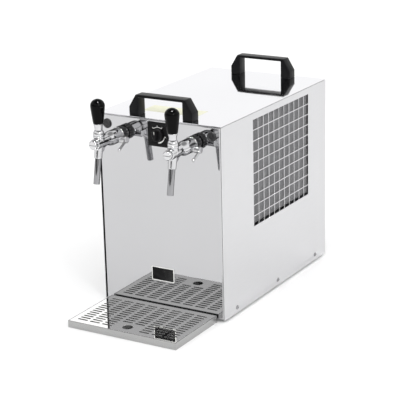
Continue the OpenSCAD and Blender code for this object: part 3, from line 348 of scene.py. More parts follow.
def brushed_metal(name, colour, rough, stretch, depth=0.00001, smudge=0.06, painted_shade_box=None):
    """Sheet metal with a fine grain drawn along one axis."""
    made = Finish(name, {"Metallic": 1.0})
    grain = made.noise(1400, 2, stretch)
    cloud = made.noise(6, 3)
    tone = made.shade(grain, toned(colour, 0.95), toned(colour, 1.04))
    # Painted shade: the tone is darkened inside the box given, where one is given
    tone = made.painted_shade(tone, colour, painted_shade_box)
    made.wear(Base_Color=tone, Roughness=rough + smudge * grain + smudge * cloud)
    made.bump(grain, depth, 0.5)
    return made


def moulded(name, colour, rough, grain=900, depth=0.00003, shine=0.5, contrast=0.25, uneven=0.12):
    """Moulded plastic, rubber or paint with a fine grain and uneven sheen."""
    made = Finish(name, {"Specular IOR Level": shine})
    speck = made.noise(grain, 2)
    cloud = made.noise(22, 3)
    made.wear(
        Base_Color=made.shade(cloud, toned(colour, 1 - contrast), toned(colour, 1 + contrast)),
        Roughness=rough + uneven * cloud - uneven / 2 * speck,
    )
    if depth:
        made.bump(speck, depth)
    return made


def spangled(name, colour):
    """Hot-dipped zinc sheet with its crystal spangle."""
    made = Finish(name, {"Metallic": 1.0})
    cell = made.cells(90)
    made.wear(
        Base_Color=made.shade(cell, toned(colour, 0.8), toned(colour, 1.15)),
        Roughness=0.3 + 0.2 * cell,
    )
    return made


def tarnished(name, colour, dark):
    """Drawn tube with tarnish in soft patches."""
    made = Finish(name, {"Metallic": 1.0})
    patch = made.step(made.noise(60, 4), 0.4, 0.7)
    made.wear(Base_Color=made.shade(patch, colour, dark), Roughness=0.25 + 0.25 * patch)
    return made


FINISHES = {}


def slot_walls():
    """Box of painted shade on the grate's slot walls, short of the rounded edges and the sides."""
    low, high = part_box("drip_grate")
    inset = SHEET / 2
    first = Vector((low.x, low.y, high.z)) + mm(inset, inset, PAINTED_SHADE_PLAY - SHEET)
    return first, high - mm(inset, inset, SLOT_EDGE), SLOT_PAINTED_SHADE


def behind_sides():
    """Box of painted shade between the side panels' outer faces, which holds the vents' cut walls.
    """
    inset = mm(SHEET - PAINTED_SHADE_PLAY, -1, -1)
    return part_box("left_panel")[0] + inset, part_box("right_panel")[1] - inset, VENT_PAINTED_SHADE


def make_finishes(colours):
    """Makes every finish of the dispenser once."""
    black = tuple(colours.black)
    satin = tuple(colours.satin)
    along_depth, along_width, along_height = (1, 0.02, 1), (0.02, 1, 1), (1, 1, 0.02)
    FINISHES.update(
        mirror=polished_metal("mirror_steel", tuple(colours.mirror), 0.03, ripple=0.0006),
        polished=polished_metal("polished_steel", tuple(colours.polished), 0.04, ripple=0.0003),
        satin=brushed_metal("satin_steel", satin, 0.24, along_depth),
        # Side panels: painted shade on the vents' cut walls and the faces behind the outer faces
        side=brushed_metal("side_steel", satin, 0.24, along_depth, painted_shade_box=behind_sides()),
        tray=brushed_metal("tray_steel", tuple(colours.tray), 0.16, along_width, smudge=0.04),
        # Grate: painted shade on the slot walls
        grate=polished_metal("grate_steel", tuple(colours.grate), 0.04, painted_shade_box=slot_walls()),
        chrome=polished_metal(
            "chrome", tuple(colours.chrome), 0.03, smudge=0.04, contrast=0.02, rim=0.0
        ),
        stem=polished_metal("stem_steel", (0.70, 0.70, 0.71), 0.14),
        tube=polished_metal("tube_steel", tuple(colours.tube), 0.05, smudge=0.04, rim=0.0),
        gloss=moulded(
            "gloss_black", toned(black, 0.15), 0.02, grain=300, depth=0.0, shine=0.09, uneven=0.03
        ),
        satin_black=moulded(
            "satin_black", toned(black, 0.45), 0.28, grain=1600, depth=0.00005, shine=0.12
        ),
        nut=moulded("nut_black", black, 0.28, grain=1200, shine=0.3),
        dial=moulded("dial_black", toned(black, 0.6), 0.34, grain=1800, depth=0.00004, shine=0.15),
        plug=moulded("plug_black", toned(black, 1.2), 0.3, grain=1400),
        enamel=moulded("badge_black", toned(black, 0.6), 0.2, grain=500, depth=0.00001, shine=0.15),
        rubber=moulded("foot_rubber", (0.022, 0.022, 0.022), 0.7, grain=700, depth=0.0001),
        # Dial print, also put on the badge's rim as a painted reflection
        marks=moulded("print_and_painted_rim", tuple(colours.print_white), 0.5, grain=1500, contrast=0.05),
        label=moulded(
            "label_film", tuple(colours.label), 0.35, grain=900, depth=0.00001, contrast=0.05
        ),
        seal=moulded("seal_white", (0.72, 0.72, 0.68), 0.45, contrast=0.06),
        foam=moulded("block_foam", (0.78, 0.77, 0.72), 0.8, grain=260, depth=0.0004, contrast=0.08),
        switch=moulded("switch_grey", (0.50, 0.50, 0.47), 0.5, contrast=0.08),
        compressor=moulded(
            "compressor_paint", (0.012, 0.012, 0.012), 0.32, grain=420, depth=0.00012
        ),
        fins=moulded("fin_coating", (0.37, 0.37, 0.38), 0.45, grain=500, contrast=0.1),
        copper=tarnished("coil_copper", (0.75, 0.38, 0.24), (0.30, 0.15, 0.09)),
        zinc=spangled("zinc_sheet", (0.55, 0.56, 0.57)),
        motor=moulded("motor_paint", (0.16, 0.16, 0.17), 0.4, grain=500, depth=0.0001),
        fan=moulded("fan_black", (0.015, 0.015, 0.015), 0.4),
        vessel=brushed_metal("vessel_steel", (0.66, 0.66, 0.67), 0.22, along_height),
        pump=moulded("pump_paint", (0.06, 0.13, 0.27), 0.35, grain=500, depth=0.0001),
        box=moulded("control_grey", (0.36, 0.36, 0.37), 0.5, contrast=0.08),
        inlet=moulded("inlet_black", (0.018, 0.018, 0.018), 0.38),
        inlet_blue=moulded("inlet_blue", (0.03, 0.09, 0.30), 0.34),
        screw=polished_metal("screw_steel", (0.36, 0.36, 0.37), 0.18),
    )


def deselect():
    """Leaves edit mode with nothing selected."""
    if bpy.context.mode != "OBJECT":
        bpy.ops.object.mode_set(mode="OBJECT")
    bpy.ops.object.select_all(action="DESELECT")


def hold(made):
    """Makes a piece the active one and the only one selected."""
    deselect()
    made.select_set(True)
    bpy.context.view_layer.objects.active = made


def smooth(made, angle):
    """Smooths all but the edges sharper than an angle."""
    hold(made)
    bpy.ops.object.shade_smooth_by_angle(angle=math.radians(angle))


def begin(name, first):
    """Starts a mesh as one vertex at a place, in edit mode."""
    deselect()
    bpy.ops.mesh.primitive_plane_add(size=MM)
    made = bpy.context.object
    made.name = name
    made.data.name = name
    bpy.ops.object.mode_set(mode="EDIT")
    bpy.ops.mesh.select_mode(type="VERT")
    bpy.ops.mesh.merge(type="CENTER")
    bpy.ops.transform.translate(value=first)
    return made


def block(name, place, size):
    """A box at a place, with its size in its mesh."""
    deselect()
    bpy.ops.mesh.primitive_cube_add(size=1, location=place, scale=size)
    made = bpy.context.object
    made.name = name
    bpy.ops.object.transform_apply()
    return made


def trace(points):
    """Extrudes the selected vertex through the points that follow the first."""
    for before, after in zip(points, points[1:]):
        bpy.ops.mesh.extrude_vertices_move(TRANSFORM_OT_translate={"value": after - before})


def settle(made, angle=35):
    """Merges doubles, turns the faces outwards and smooths all but the sharp edges."""
    if bpy.context.mode == "OBJECT":
        bpy.ops.object.mode_set(mode="EDIT")
    bpy.ops.mesh.select_all(action="SELECT")
    bpy.ops.mesh.remove_doubles(threshold=MERGE)
    bpy.ops.mesh.normals_make_consistent(inside=False)
    bpy.ops.object.mode_set(mode="OBJECT")
    bpy.ops.object.shade_smooth_by_angle(angle=math.radians(angle))
    return made


def softened(corners, radius, steps=4):
    """A path of (radius, height) corners with each inner corner rounded."""
    path = [Vector(corners[0])]
    for before, corner, after in zip(corners, corners[1:], corners[2:]):
        before, corner, after = Vector(before), Vector(corner), Vector(after)
        reach = min(radius, (before - corner).length * 0.45, (after - corner).length * 0.45)
        start = corner + (before - corner).normalized() * reach
        end = corner + (after - corner).normalized() * reach
        for i in range(steps + 1):
            t = i / steps
            path.append(start * (1 - t) ** 2 + corner * 2 * t * (1 - t) + end * t * t)
    path.append(Vector(corners[-1]))
    return path


def arc(radius, height, degrees):
    """Points (radius, height) on a circle about the axis, at the given degrees above a height."""
    angles = [math.radians(a) for a in degrees]
    return [(radius * math.cos(a), height + radius * math.sin(a)) for a in angles]


def turned(name, path, centre, axis, steps, angle=35):
    """Spins a path of (radius, height) points in millimetres round an axis."""
    axis = Vector(axis).normalized()
    out = X_AXIS if abs(axis.x) < 0.5 else Y_AXIS
    points = [centre + axis * height * MM + out * radius * MM for radius, height in path]
    made = begin(name, points[0])
    trace(points)
    bpy.ops.mesh.select_all(action="SELECT")
    bpy.ops.mesh.spin(steps=steps, angle=math.tau, center=centre, axis=axis)
    return settle(made, angle)


def drill(radius, reach, centre, axis, steps):
    """A round cutter that reaches past a place on both sides."""
    path = [(0, -reach), (radius, -reach), (radius, reach), (0, reach)]
    return turned("drill", path, centre, axis, steps)


def plate(name, points, thickness, edge=0.0, segments=3, angle=35):
    """A solid from a closed outline, with its edges rounded."""
    made = begin(name, points[0])
    trace(points)
    bpy.ops.mesh.select_all(action="SELECT")
    bpy.ops.mesh.edge_face_add()
    bpy.ops.mesh.extrude_region_move(TRANSFORM_OT_translate={"value": thickness})
    bpy.ops.mesh.select_all(action="SELECT")
    bpy.ops.mesh.normals_make_consistent(inside=False)
    bpy.ops.object.mode_set(mode="OBJECT")
    if edge:
        sharp = {"limit_method": "ANGLE", "angle_limit": math.radians(PLATE_CORNER)}
        apply(made, "BEVEL", width=edge, segments=segments, **sharp)
    return settle(made, angle)


def apply(made, kind, **settings):
    """Adds a modifier to a piece and applies it."""
    hold(made)
    bpy.ops.object.modifier_add(type=kind)
    modifier = made.modifiers[-1]
    for key, value in settings.items():
        setattr(modifier, key, value)
    bpy.ops.object.modifier_apply(modifier=modifier.name)


def cut(made, *cutters, operation="DIFFERENCE"):
    """Cuts pieces out of a piece, or welds them to it, and removes them."""
    for cutter in cutters:
        apply(made, "BOOLEAN", operation=operation, solver="EXACT", object=cutter)
        bpy.data.objects.remove(cutter)


def join(name, pieces):
    """Joins pieces that don't meet into one."""
    deselect()
    for piece in pieces:
        piece.select_set(True)
    bpy.context.view_layer.objects.active = pieces[0]
    bpy.ops.object.join()
    pieces[0].name = name
    return pieces[0]


def select_faces(made, test):
    """Selects the faces whose middle and normal pass a test, in edit mode."""
    bpy.ops.mesh.select_mode(type="FACE")
    bpy.ops.mesh.select_all(action="DESELECT")
    shape = bmesh.from_edit_mesh(made.data)
    for face in shape.faces:
        face.select_set(test(face.calc_center_median(), face.normal))
    bmesh.update_edit_mesh(made.data)


def paint(made, *finishes):
    """Puts finishes in a new piece's material slots."""
    made.data.materials.clear()
    for finish in finishes:
        made.data.materials.append(FINISHES[finish].material)


def seat(made, body, slot, finish, *nodes):
    """Finishes a new piece: its material, its body and the nodes it stands for; the slot is not
    used.
    """
    if finish:
        paint(made, finish)
    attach(made, body)
    if nodes:
        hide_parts(*nodes)


def dress(names, finish, edge=0.0, limit=30):
    """Gives CAD nodes a finish, and soft edges where asked."""
    for name in names:
        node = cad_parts[name]
        for holder in node.material_slots:
            holder.material = FINISHES[finish].material
        if edge:
            weld = node.modifiers.new("Weld", "WELD")
            weld.merge_threshold = MERGE * 5
            bevel = node.modifiers.new("Edge", "BEVEL")
            bevel.width = edge
            bevel.segments = 2
            bevel.limit_method = "ANGLE"
            bevel.angle_limit = math.radians(limit)
            bevel.harden_normals = True


def middle(node):
    """Middle of a CAD node's box."""
    low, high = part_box(node)
    return (low + high) / 2


def front_middle(node):
    """Middle of the front of a CAD node's box."""
    low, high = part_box(node)
    return Vector(((low.x + high.x) / 2, low.y, (low.z + high.z) / 2))


def foot_middle(node):
    """Middle of the underside of a CAD node's box."""
    low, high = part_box(node)
    return Vector(((low.x + high.x) / 2, (low.y + high.y) / 2, low.z))


def spans(node):
    """Width, depth and height of a CAD node's box, in millimetres."""
    low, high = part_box(node)
    return tuple((last - first) / MM for first, last in zip(low, high))


def round_outline(width, height, radius, steps=6):
    """Points of a rectangle with round corners, in millimetres about its middle."""
    points = []
    for turn, (x, y) in enumerate(((1, 1), (-1, 1), (-1, -1), (1, -1))):
        for i in range(steps + 1):
            a = math.radians(90 * (turn + i / steps))
            across = x * (width / 2 - radius) + radius * math.cos(a)
            along = y * (height / 2 - radius) + radius * math.sin(a)
            points.append((across, along))
    return points


class DISPENSER_OT_stage(Operator):
    """Sets the floor, the soft light and the camera"""

    bl_idname = "dispenser.stage"
    bl_label = "Stage"

    def lay_floor(self, scene):
        """A wide sheet of pale paper."""
        deselect()
        bpy.ops.mesh.primitive_plane_add(size=FLOOR_SIDE)
        floor = bpy.context.object
        floor.name = "floor"
        bpy.ops.object.mode_set(mode="EDIT")
        bpy.ops.mesh.subdivide(number_cuts=FLOOR_CUTS)
        bpy.ops.object.mode_set(mode="OBJECT")
        paper = Finish("floor_paper", {"Specular IOR Level": 0.1})
        tone = tuple(scene.dispenser_colours.floor)
        paper.wear(
            Base_Color=paper.shade(paper.noise(3), toned(tone, 0.99), toned(tone, 1.01)),
            Roughness=0.7 + 0.1 * paper.noise(30),
        )
        floor.data.materials.append(paper.material)

    def surround(self, scene):
        """A bright world, darker low on one side, along the horizon and overhead."""
        world = bpy.data.worlds.new("studio")
        world.use_nodes = True
        scene.world = world
        back = world.node_tree.nodes["Background"]
        back.inputs["Color"].default_value = (1, 1, 1, 1)
        board = Board(world.node_tree)
        point = board.node("ShaderNodeTexCoord", output="Generated")
        sides = {0: point, 1: Vector(DARK_SIDE).normalized()}
        facing = board.node(
            "ShaderNodeVectorMath", {"operation": "DOT_PRODUCT"}, sides, output="Value"
        )
        ramp = dict(zip(("From Min", "From Max", "To Min", "To Max"), DARK_SPAN + DARK_STRENGTH))
        smoothed = {"interpolation_type": "SMOOTHSTEP"}
        light = board.node("ShaderNodeMapRange", smoothed, {"Value": facing, **ramp})
        height = board.node("ShaderNodeSeparateXYZ", sockets={0: point}, output="Z")
        sky = board.node("ShaderNodeValToRGB", {"stops": SKY_TONES}, {"Fac": height})
        board.feed(back.inputs["Strength"], light * sky)

    def hang_lights(self, scene):
        """Soft lights, most of which the steel doesn't mirror, and one for sparks alone."""
        for name, kind, place, power, spread in LIGHTS:
            data = bpy.data.lights.new(name, kind)
            data.energy = power
            setattr(data, "angle" if kind == "SUN" else "size", spread)
            lamp = bpy.data.objects.new(name, data)
            lamp.location = place
            lamp.visible_glossy = name in MIRRORED_LIGHTS
            lamp.visible_diffuse = name != SPARK_LIGHT
            lamp.rotation_euler = (LIGHT_AIM - Vector(place)).to_track_quat("-Z", "Y").to_euler()
            scene.collection.objects.link(lamp)

    def set_camera(self, scene):
        """The photo's camera."""
        azimuth, elevation, roll = (math.radians(a) for a in CAMERA_TURN)
        level_reach = math.cos(elevation)
        behind = Vector(
            (math.sin(azimuth) * level_reach, -math.cos(azimuth) * level_reach, math.sin(elevation))
        )
        level = Z_AXIS.cross(behind).normalized()
        upward = behind.cross(level)
        right = level * math.cos(roll) + upward * math.sin(roll)
        up = upward * math.cos(roll) - level * math.sin(roll)
        lens = bpy.data.cameras.new("photo_camera")
        lens.lens = CAMERA_LENS
        lens.sensor_width = CAMERA_SENSOR
        lens.clip_end = CAMERA_REACH
        camera = bpy.data.objects.new("photo_camera", lens)
        turn = Matrix((right, up, behind)).transposed().to_4x4()
        camera.matrix_world = Matrix.Translation(mm(*CAMERA_PLACE)) @ turn
        scene.collection.objects.link(camera)
        scene.camera = camera
        scene.view_settings.view_transform = "Standard"

    def execute(self, context):
        self.lay_floor(context.scene)
        self.surround(context.scene)
        self.hang_lights(context.scene)
        self.set_camera(context.scene)
        return {"FINISHED"}


class DISPENSER_OT_casing(Operator):
    """Dresses the casing's sheet steel, its screws and its feet"""

    bl_idname = "dispenser.casing"
    bl_label = "Casing"

    def execute(self, context):
        edge = context.scene.dispenser_sizes.sheet_edge
        low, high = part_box("top_cover")
        corners = ((low.x, low.y), (high.x, low.y), (high.x, high.y), (low.x, high.y))
        points = [Vector((x, y, low.z)) for x, y in corners]
        cover = plate("top_cover_sheet", points, Z_AXIS * (high.z - low.z), edge)
        for node in ("front_grip", "rear_grip"):
            first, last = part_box(node)
            for x in (first.x + GRIP_LEG / 2 * MM, last.x - GRIP_LEG / 2 * MM):
                centre = Vector((x, (first.y + last.y) / 2, low.z))
                cut(cover, drill(SCREW_HOLE, SHEET_REACH, centre, Z_AXIS, SMALL_HOLE_STEPS))
        apply(cover, "WEIGHTED_NORMAL", keep_sharp=True)
        seat(cover, "cabinet", "polished_steel", "polished", "top_cover")
        dress(("left_panel", "right_panel"), "side", edge)
        dress(("rear_panel",), "satin", edge)
        dress(("base_pan",), "satin")
        dress(("side_screws", "grip_screws"), "screw")
        dress(("feet",), "rubber")
        return {"FINISHED"}


class DISPENSER_OT_front_panel(Operator):
    """Folds the mirror-polished front panel"""

    bl_idname = "dispenser.front_panel"
    bl_label = "Front panel"

    def holes(self, front):
        """Cutters for the tap shanks, the thermostat's spindle and the plugs."""
        holes = []
        for side in SIDES:
            shank = middle(side + "_shank")
            holes.append((SHANK_HOLE, shank.x, shank.z, HOLE_STEPS))
        knob = middle("thermostat_knob")
        holes.append((SPINDLE_HOLE, knob.x, knob.z, SMALL_HOLE_STEPS))
        first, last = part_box("hole_plugs")
        rim = (last.z - first.z) / 2
        radius = rim / MM - PLUG_LIP + PLUG_PLAY
        for x in (first.x + rim, last.x - rim):
            holes.append((radius, x, first.z + rim, HOLE_STEPS))
        return [
            drill(radius, PANEL_REACH, Vector((x, front, z)), Y_AXIS, steps)
            for radius, x, z, steps in holes
        ]

    def execute(self, context):
        bend = context.scene.dispenser_sizes.panel_bend
        low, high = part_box("front_panel")
        panel = block("front_panel_pan", (low + high) / 2, high - low)
        bpy.ops.object.mode_set(mode="EDIT")
        select_faces(panel, lambda place, normal: normal.y > 0.5)
        bpy.ops.mesh.delete(type="FACE")
        select_faces(panel, lambda place, normal: normal.y < -0.5)
        bpy.ops.mesh.select_mode(type="EDGE")
        bpy.ops.mesh.bevel(offset=bend, segments=6, affect="EDGES")
        bpy.ops.object.mode_set(mode="OBJECT")
        settle(panel, 50)
        apply(panel, "SOLIDIFY", thickness=SHEET * MM, offset=-1)
        cut(panel, *self.holes(low.y))
        smooth(panel, 30)
        apply(panel, "WEIGHTED_NORMAL", keep_sharp=True)
        seat(panel, "cabinet", "mirror_steel", "mirror", "front_panel")
        return {"FINISHED"}


class DISPENSER_OT_bridge_grips(Operator):
    """Moulds the two black bridge grips on the top cover"""

    bl_idname = "dispenser.bridge_grips"
    bl_label = "Bridge grips"

    def execute(self, context):
        edge = context.scene.dispenser_sizes.grip_edge
        for node in ("front_grip", "rear_grip"):
            low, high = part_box(node)
            half = (high.x - low.x) / 2
            tall = high.z - low.z
            leg, bar = GRIP_LEG * MM, GRIP_BAR * MM
            slope_x, slope_z = (part * MM for part in GRIP_SLOPE)
            corners = [
                (-half, 0), (-half + leg, 0), (-half + leg, tall - bar), (half - leg, tall - bar),
                (half - leg, 0), (half, 0), (half, tall - slope_z), (half - slope_x, tall),
                (-half + slope_x, tall), (-half, tall - slope_z),
            ]
            points = [Vector(((low.x + high.x) / 2 + x, low.y, low.z + z)) for x, z in corners]
            grip = plate(node + "_bridge", points, Y_AXIS * (high.y - low.y), edge)
            seat(grip, "cabinet", "satin_black", "satin_black", node)
        return {"FINISHED"}


class DISPENSER_OT_taps(Operator):
    """Casts the chrome taps with their nuts, caps, bonnets, spouts and flow levers"""

    bl_idname = "dispenser.taps"
    bl_label = "Taps"

    def cast(self, context, node, name, voxel, passes):
        """Copies a CAD node and blends its joints as a polished casting has them."""
        made = bpy.data.objects.new(name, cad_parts[node].data.copy())
        context.scene.collection.objects.link(made)
        hold(made)
        settle(made)
        apply(made, "REMESH", mode="VOXEL", voxel_size=voxel)
        apply(made, "SMOOTH", factor=0.5, iterations=passes)
        bpy.ops.object.shade_smooth()
        return made

    def nut(self, side, steps):
        """Ribbed union nut round the shank, with its bright washer face in front."""
        node = side + "_union_nut"
        centre = front_middle(node)
        wide, deep, _ = spans(node)
        count = NUT_RIBS * RIB_STEPS
        points = []
        for i in range(count):
            wave = abs(math.cos(math.pi * i / RIB_STEPS)) ** RIB_FULLNESS
            radius = wide / 2 - RIB_DEPTH + RIB_DEPTH * wave
            a = math.tau * i / count
            points.append(centre + mm(math.cos(a) * radius, 0, math.sin(a) * radius))
        made = plate(side + "_ribbed_nut", points, Y_AXIS * deep * MM, 0.7 * MM, 3)
        front, back = NUT_BORES
        floor = deep - NUT_WALL
        end = deep + 2
        bore = [(0, -2), (front, -2), (front, floor), (back, floor), (back, end), (0, end)]
        cut(made, turned("bore", bore, centre, Y_AXIS, steps))
        smooth(made, 40)
        paint(made, "nut", "chrome")
        bpy.ops.object.mode_set(mode="EDIT")
        select_faces(made, lambda place, normal: normal.y < -0.5 and place.y < centre.y + MM)
        made.active_material_index = 1
        bpy.ops.object.material_slot_assign()
        bpy.ops.object.mode_set(mode="OBJECT")
        seat(made, "cabinet", "nut_black", None, node)

    def cap(self, side, steps, soft):
        """Slotted cap that closes the front of the tap's head."""
        node = side + "_tap_cap"
        wide, long, _ = spans(node)
        rim = wide / 2
        corners = [
            (0, 0), (rim - 1.4, 0), (rim, 1.6), (rim, long - 2.6), (rim - 1, long - 1.8),
            (rim - 1, long), (0, long),
        ]
        centre = front_middle(node)
        made = turned(side + "_front_cap", softened(corners, soft * 1.6), centre, Y_AXIS, steps)
        cut(made, block("slot", centre, mm(*CAP_SLOT)))
        smooth(made, 40)
        seat(made, "cabinet", "chrome", "chrome", node)

    def bonnet(self, side, steps):
        """Domed bonnet over the handle's ball."""
        node = side + "_bonnet"
        rim = spans(node)[0] / 2
        groove = rim - 0.9
        skirt = [(BONNET_BORE, 0), (rim, 0), (rim, 3), (groove, 3.3), (groove, 4.3), (rim, 4.6)]
        dome = arc(rim, PIVOT_RISE, range(0, 43, 6))
        hollow = arc(BALL_HOLLOW, PIVOT_RISE, range(33, -31, -7))
        path = softened(skirt, 0.3, 3) + dome + hollow + [(BONNET_BORE, 2), (BONNET_BORE, 0)]
        made = turned(side + "_domed_bonnet", path, foot_middle(node), Z_AXIS, steps)
        seat(made, "cabinet", "chrome", "chrome", node)

    def spout(self, side, steps, soft):
        """Plain tube that leans forward under the tap's head."""
        lean = math.radians(SPOUT_LEAN)
        axis = Vector((0, -math.sin(lean), -math.cos(lean)))
        foot = foot_middle(side + "_bonnet")
        root = Vector((foot.x, foot.y, middle(side + "_tap_cap").z))
        bore, outer = SPOUT_RADII
        top, end = SPOUT_SPAN
        seam = (bore, top + 1)
        corners = [seam, (bore, top), (outer, top), (outer, end), (bore, end), seam]
        made = turned(side + "_spout_tube", softened(corners, soft * 0.8), root, axis, steps)
        seat(made, "cabinet", "chrome", "tube", side + "_spout")

    def execute(self, context):
        sizes = context.scene.dispenser_sizes
        steps, soft, voxel = sizes.rounds, sizes.turned_edge / MM, sizes.cast_voxel
        for side in SIDES:
            casting = self.cast(context, side + "_tap_body", side + "_tap_casting", voxel, 8)
            seat(casting, "cabinet", "chrome", "chrome", side + "_tap_body")
            lever = self.cast(context, side + "_flow_lever", side + "_flow_handle", voxel * 0.6, 5)
            seat(lever, side + "_flow", "chrome", "chrome", side + "_flow_lever")
            self.nut(side, steps)
            self.cap(side, steps, soft)
            self.bonnet(side, steps)
            self.spout(side, steps, soft)
        dress(("left_shank", "right_shank", "shank_nuts", "drink_lines"), "stem")
        dress(("left_plunger", "right_plunger", "left_flow_cone", "right_flow_cone"), "seal")
        return {"FINISHED"}


class DISPENSER_OT_tap_handles(Operator):
    """Turns the black tap grips and their chrome ferrules"""

    bl_idname = "dispenser.tap_handles"
    bl_label = "Tap handles"

    def grip(self, side, steps):
        """Black grip that swells from its neck to a round top."""
        node = side + "_tap_grip"
        across, _, tall = spans(node)
        wide, shoulder, neck, foot = across / 2, tall * KNOB_SWELL, KNOB_NECK, KNOB_FOOT
        path = [(STEM_BORE, 0), (neck - 0.8, 0), (neck - 0.25, 0.25), (neck, foot)]
        for i in range(1, KNOB_STEPS + 1):
            t = i / KNOB_STEPS
            full = 0.7 * t + 0.3 * math.sin(t * math.pi / 2)
            path.append((neck + (wide - neck) * full, foot + (shoulder - foot) * t))
        for i in range(1, KNOB_STEPS + 1):
            a = i / KNOB_STEPS * math.pi / 2
            path.append((wide * math.cos(a), shoulder + tall * (1 - KNOB_SWELL) * math.sin(a)))
        path[-1] = (0, tall)
        path += [(0, tall / 2 + 1), (STEM_BORE, tall / 2 + 1), (STEM_BORE, 0)]
        made = turned(side + "_grip_knob", path, foot_middle(node), Z_AXIS, steps)
        seat(made, side + "_handle", "gloss_black", "gloss", node)

    def ferrule(self, side, steps, soft):
        """Chrome ferrule, hollow underneath to clear the bonnet's dome."""
        node = side + "_ferrule"
        across, _, tall = spans(node)
        wide = across / 2
        above = foot_middle(side + "_tap_grip")
        foot = Vector((above.x, above.y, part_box(node)[0].z))
        pivot = (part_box(side + "_bonnet")[0].z - foot.z) / MM + PIVOT_RISE
        rim = arc(FERRULE_HOLLOW, pivot, range(48, 73, 6))
        corners = [
            (STEM_BORE, tall), (wide - 0.6, tall), (wide, tall - 0.8), (wide, tall - 2.6),
            FERRULE_WAIST, (FERRULE_LIP, rim[0][1]),
        ]
        path = softened(corners, soft) + rim + [(STEM_BORE, rim[-1][1]), (STEM_BORE, tall)]
        made = turned(side + "_ferrule_cone", path, foot, Z_AXIS, steps)
        seat(made, side + "_handle", "chrome", "chrome", node)

    def execute(self, context):
        sizes = context.scene.dispenser_sizes
        for side in SIDES:
            self.grip(side, sizes.rounds)
            self.ferrule(side, sizes.rounds, sizes.turned_edge / MM)
        dress(("left_lever", "right_lever"), "stem")
        return {"FINISHED"}


class DISPENSER_OT_dial(Operator):
    """Makes the thermostat's plate, knob and printed scale"""

    bl_idname = "dispenser.dial"
    bl_label = "Thermostat dial"

    def mark(self, centre, inner, outer, start, end, height, steps=16):
        """A printed arc between two radii, of which the outer may differ at its ends."""
        points = []
        for i in range(steps + 1):
            a = math.radians(start + (end - start) * i / steps)
            points.append(centre + mm(inner * math.cos(a), 0, inner * math.sin(a)))
        for i in range(steps, -1, -1):
            a = math.radians(start + (end - start) * i / steps)
            reach = outer[0] + (outer[1] - outer[0]) * i / steps
            points.append(centre + mm(reach * math.cos(a), 0, reach * math.sin(a)))
        return plate("mark", points, Y_AXIS * height)

    def tick(self, centre, inner, angle, height):
        """A short printed tick out to the scale's rim."""
        ends = (TICK_RIM, TICK_RIM)
        return self.mark(centre, inner, ends, angle - TICK_HALF, angle + TICK_HALF, height, 2)

    def bezel(self, centre):
        """Square plate with round corners and a hole for the spindle."""
        wide, deep, tall = spans("dial_plate")
        points = [centre + mm(x, 0, z) for x, z in round_outline(wide, tall, 2.5)]
        made = plate("dial_bezel", points, Y_AXIS * deep * MM, 0.6 * MM, 3)
        cut(made, drill(SPINDLE_HOLE, SHEET_REACH, centre, Y_AXIS, SMALL_HOLE_STEPS))
        seat(made, "cabinet", "dial_black", "dial", "dial_plate")

    def scale(self, centre, ink):
        """Printed scale: an arc with ticks, and a wedge that swells from cold to colder."""
        face = centre - Y_AXIS * ink
        inner, outer = ARC_RADII
        thin, thick = WEDGE_ANGLES
        prints = [self.mark(face, inner, (outer, outer), ARC_ANGLES[0], ARC_ANGLES[-1], ink)]
        prints += [self.tick(face, ARC_TICK, a, ink) for a in ARC_ANGLES]
        prints.append(self.mark(face, WEDGE_FOOT, WEDGE_SWELL, thin, thick, ink))
        ends = (thin + WEDGE_GAP, thick - WEDGE_GAP)
        prints += [self.tick(face, WEDGE_FOOT, a, ink) for a in ends]
        seat(join("dial_scale", prints), "cabinet", "dial_black", "marks")

    def knob(self, centre, steps):
        """Round knob with a finger bar across it, its spindle and its printed pointer."""
        across, deep, _ = spans("thermostat_knob")
        wide, step = across / 2, DIAL_DEPTH * 0.55
        base = Vector((centre.x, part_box("thermostat_knob")[0].y, centre.z))
        corners = [
            (0, step), (wide * 0.9, step), (wide, DIAL_DEPTH * 0.62), (wide, DIAL_DEPTH),
            (3, DIAL_DEPTH), (3, deep), (0, deep),
        ]
        made = turned("thermostat_dial_knob", softened(corners, 0.8), base, Y_AXIS, steps)
        half, reach = wide * 0.26, wide * 0.9
        outline = [base + mm(x, 0, z) for x, z in round_outline(2 * half, 2 * reach, half * 0.98)]
        bar = plate("bar", outline, Y_AXIS * DIAL_DEPTH * 0.7 * MM, 1.0 * MM, 3)
        cut(made, bar, operation="UNION")
        smooth(made, 35)
        seat(made, "knob", "dial_black", "dial", "thermostat_knob")
        outline = round_outline(1.1, reach * 0.55, 0.5)
        points = [base + mm(x, -0.05, z + reach * 0.55) for x, z in outline]
        pointer = plate("knob_pointer", points, Y_AXIS * 0.2 * MM)
        seat(pointer, "knob", "dial_black", "marks")

    def execute(self, context):
        sizes = context.scene.dispenser_sizes
        centre = front_middle("dial_plate")
        self.bezel(centre)
        self.scale(centre, sizes.print_height)
        self.knob(centre, sizes.rounds)
        dress(("thermostat_body",), "switch")
        return {"FINISHED"}


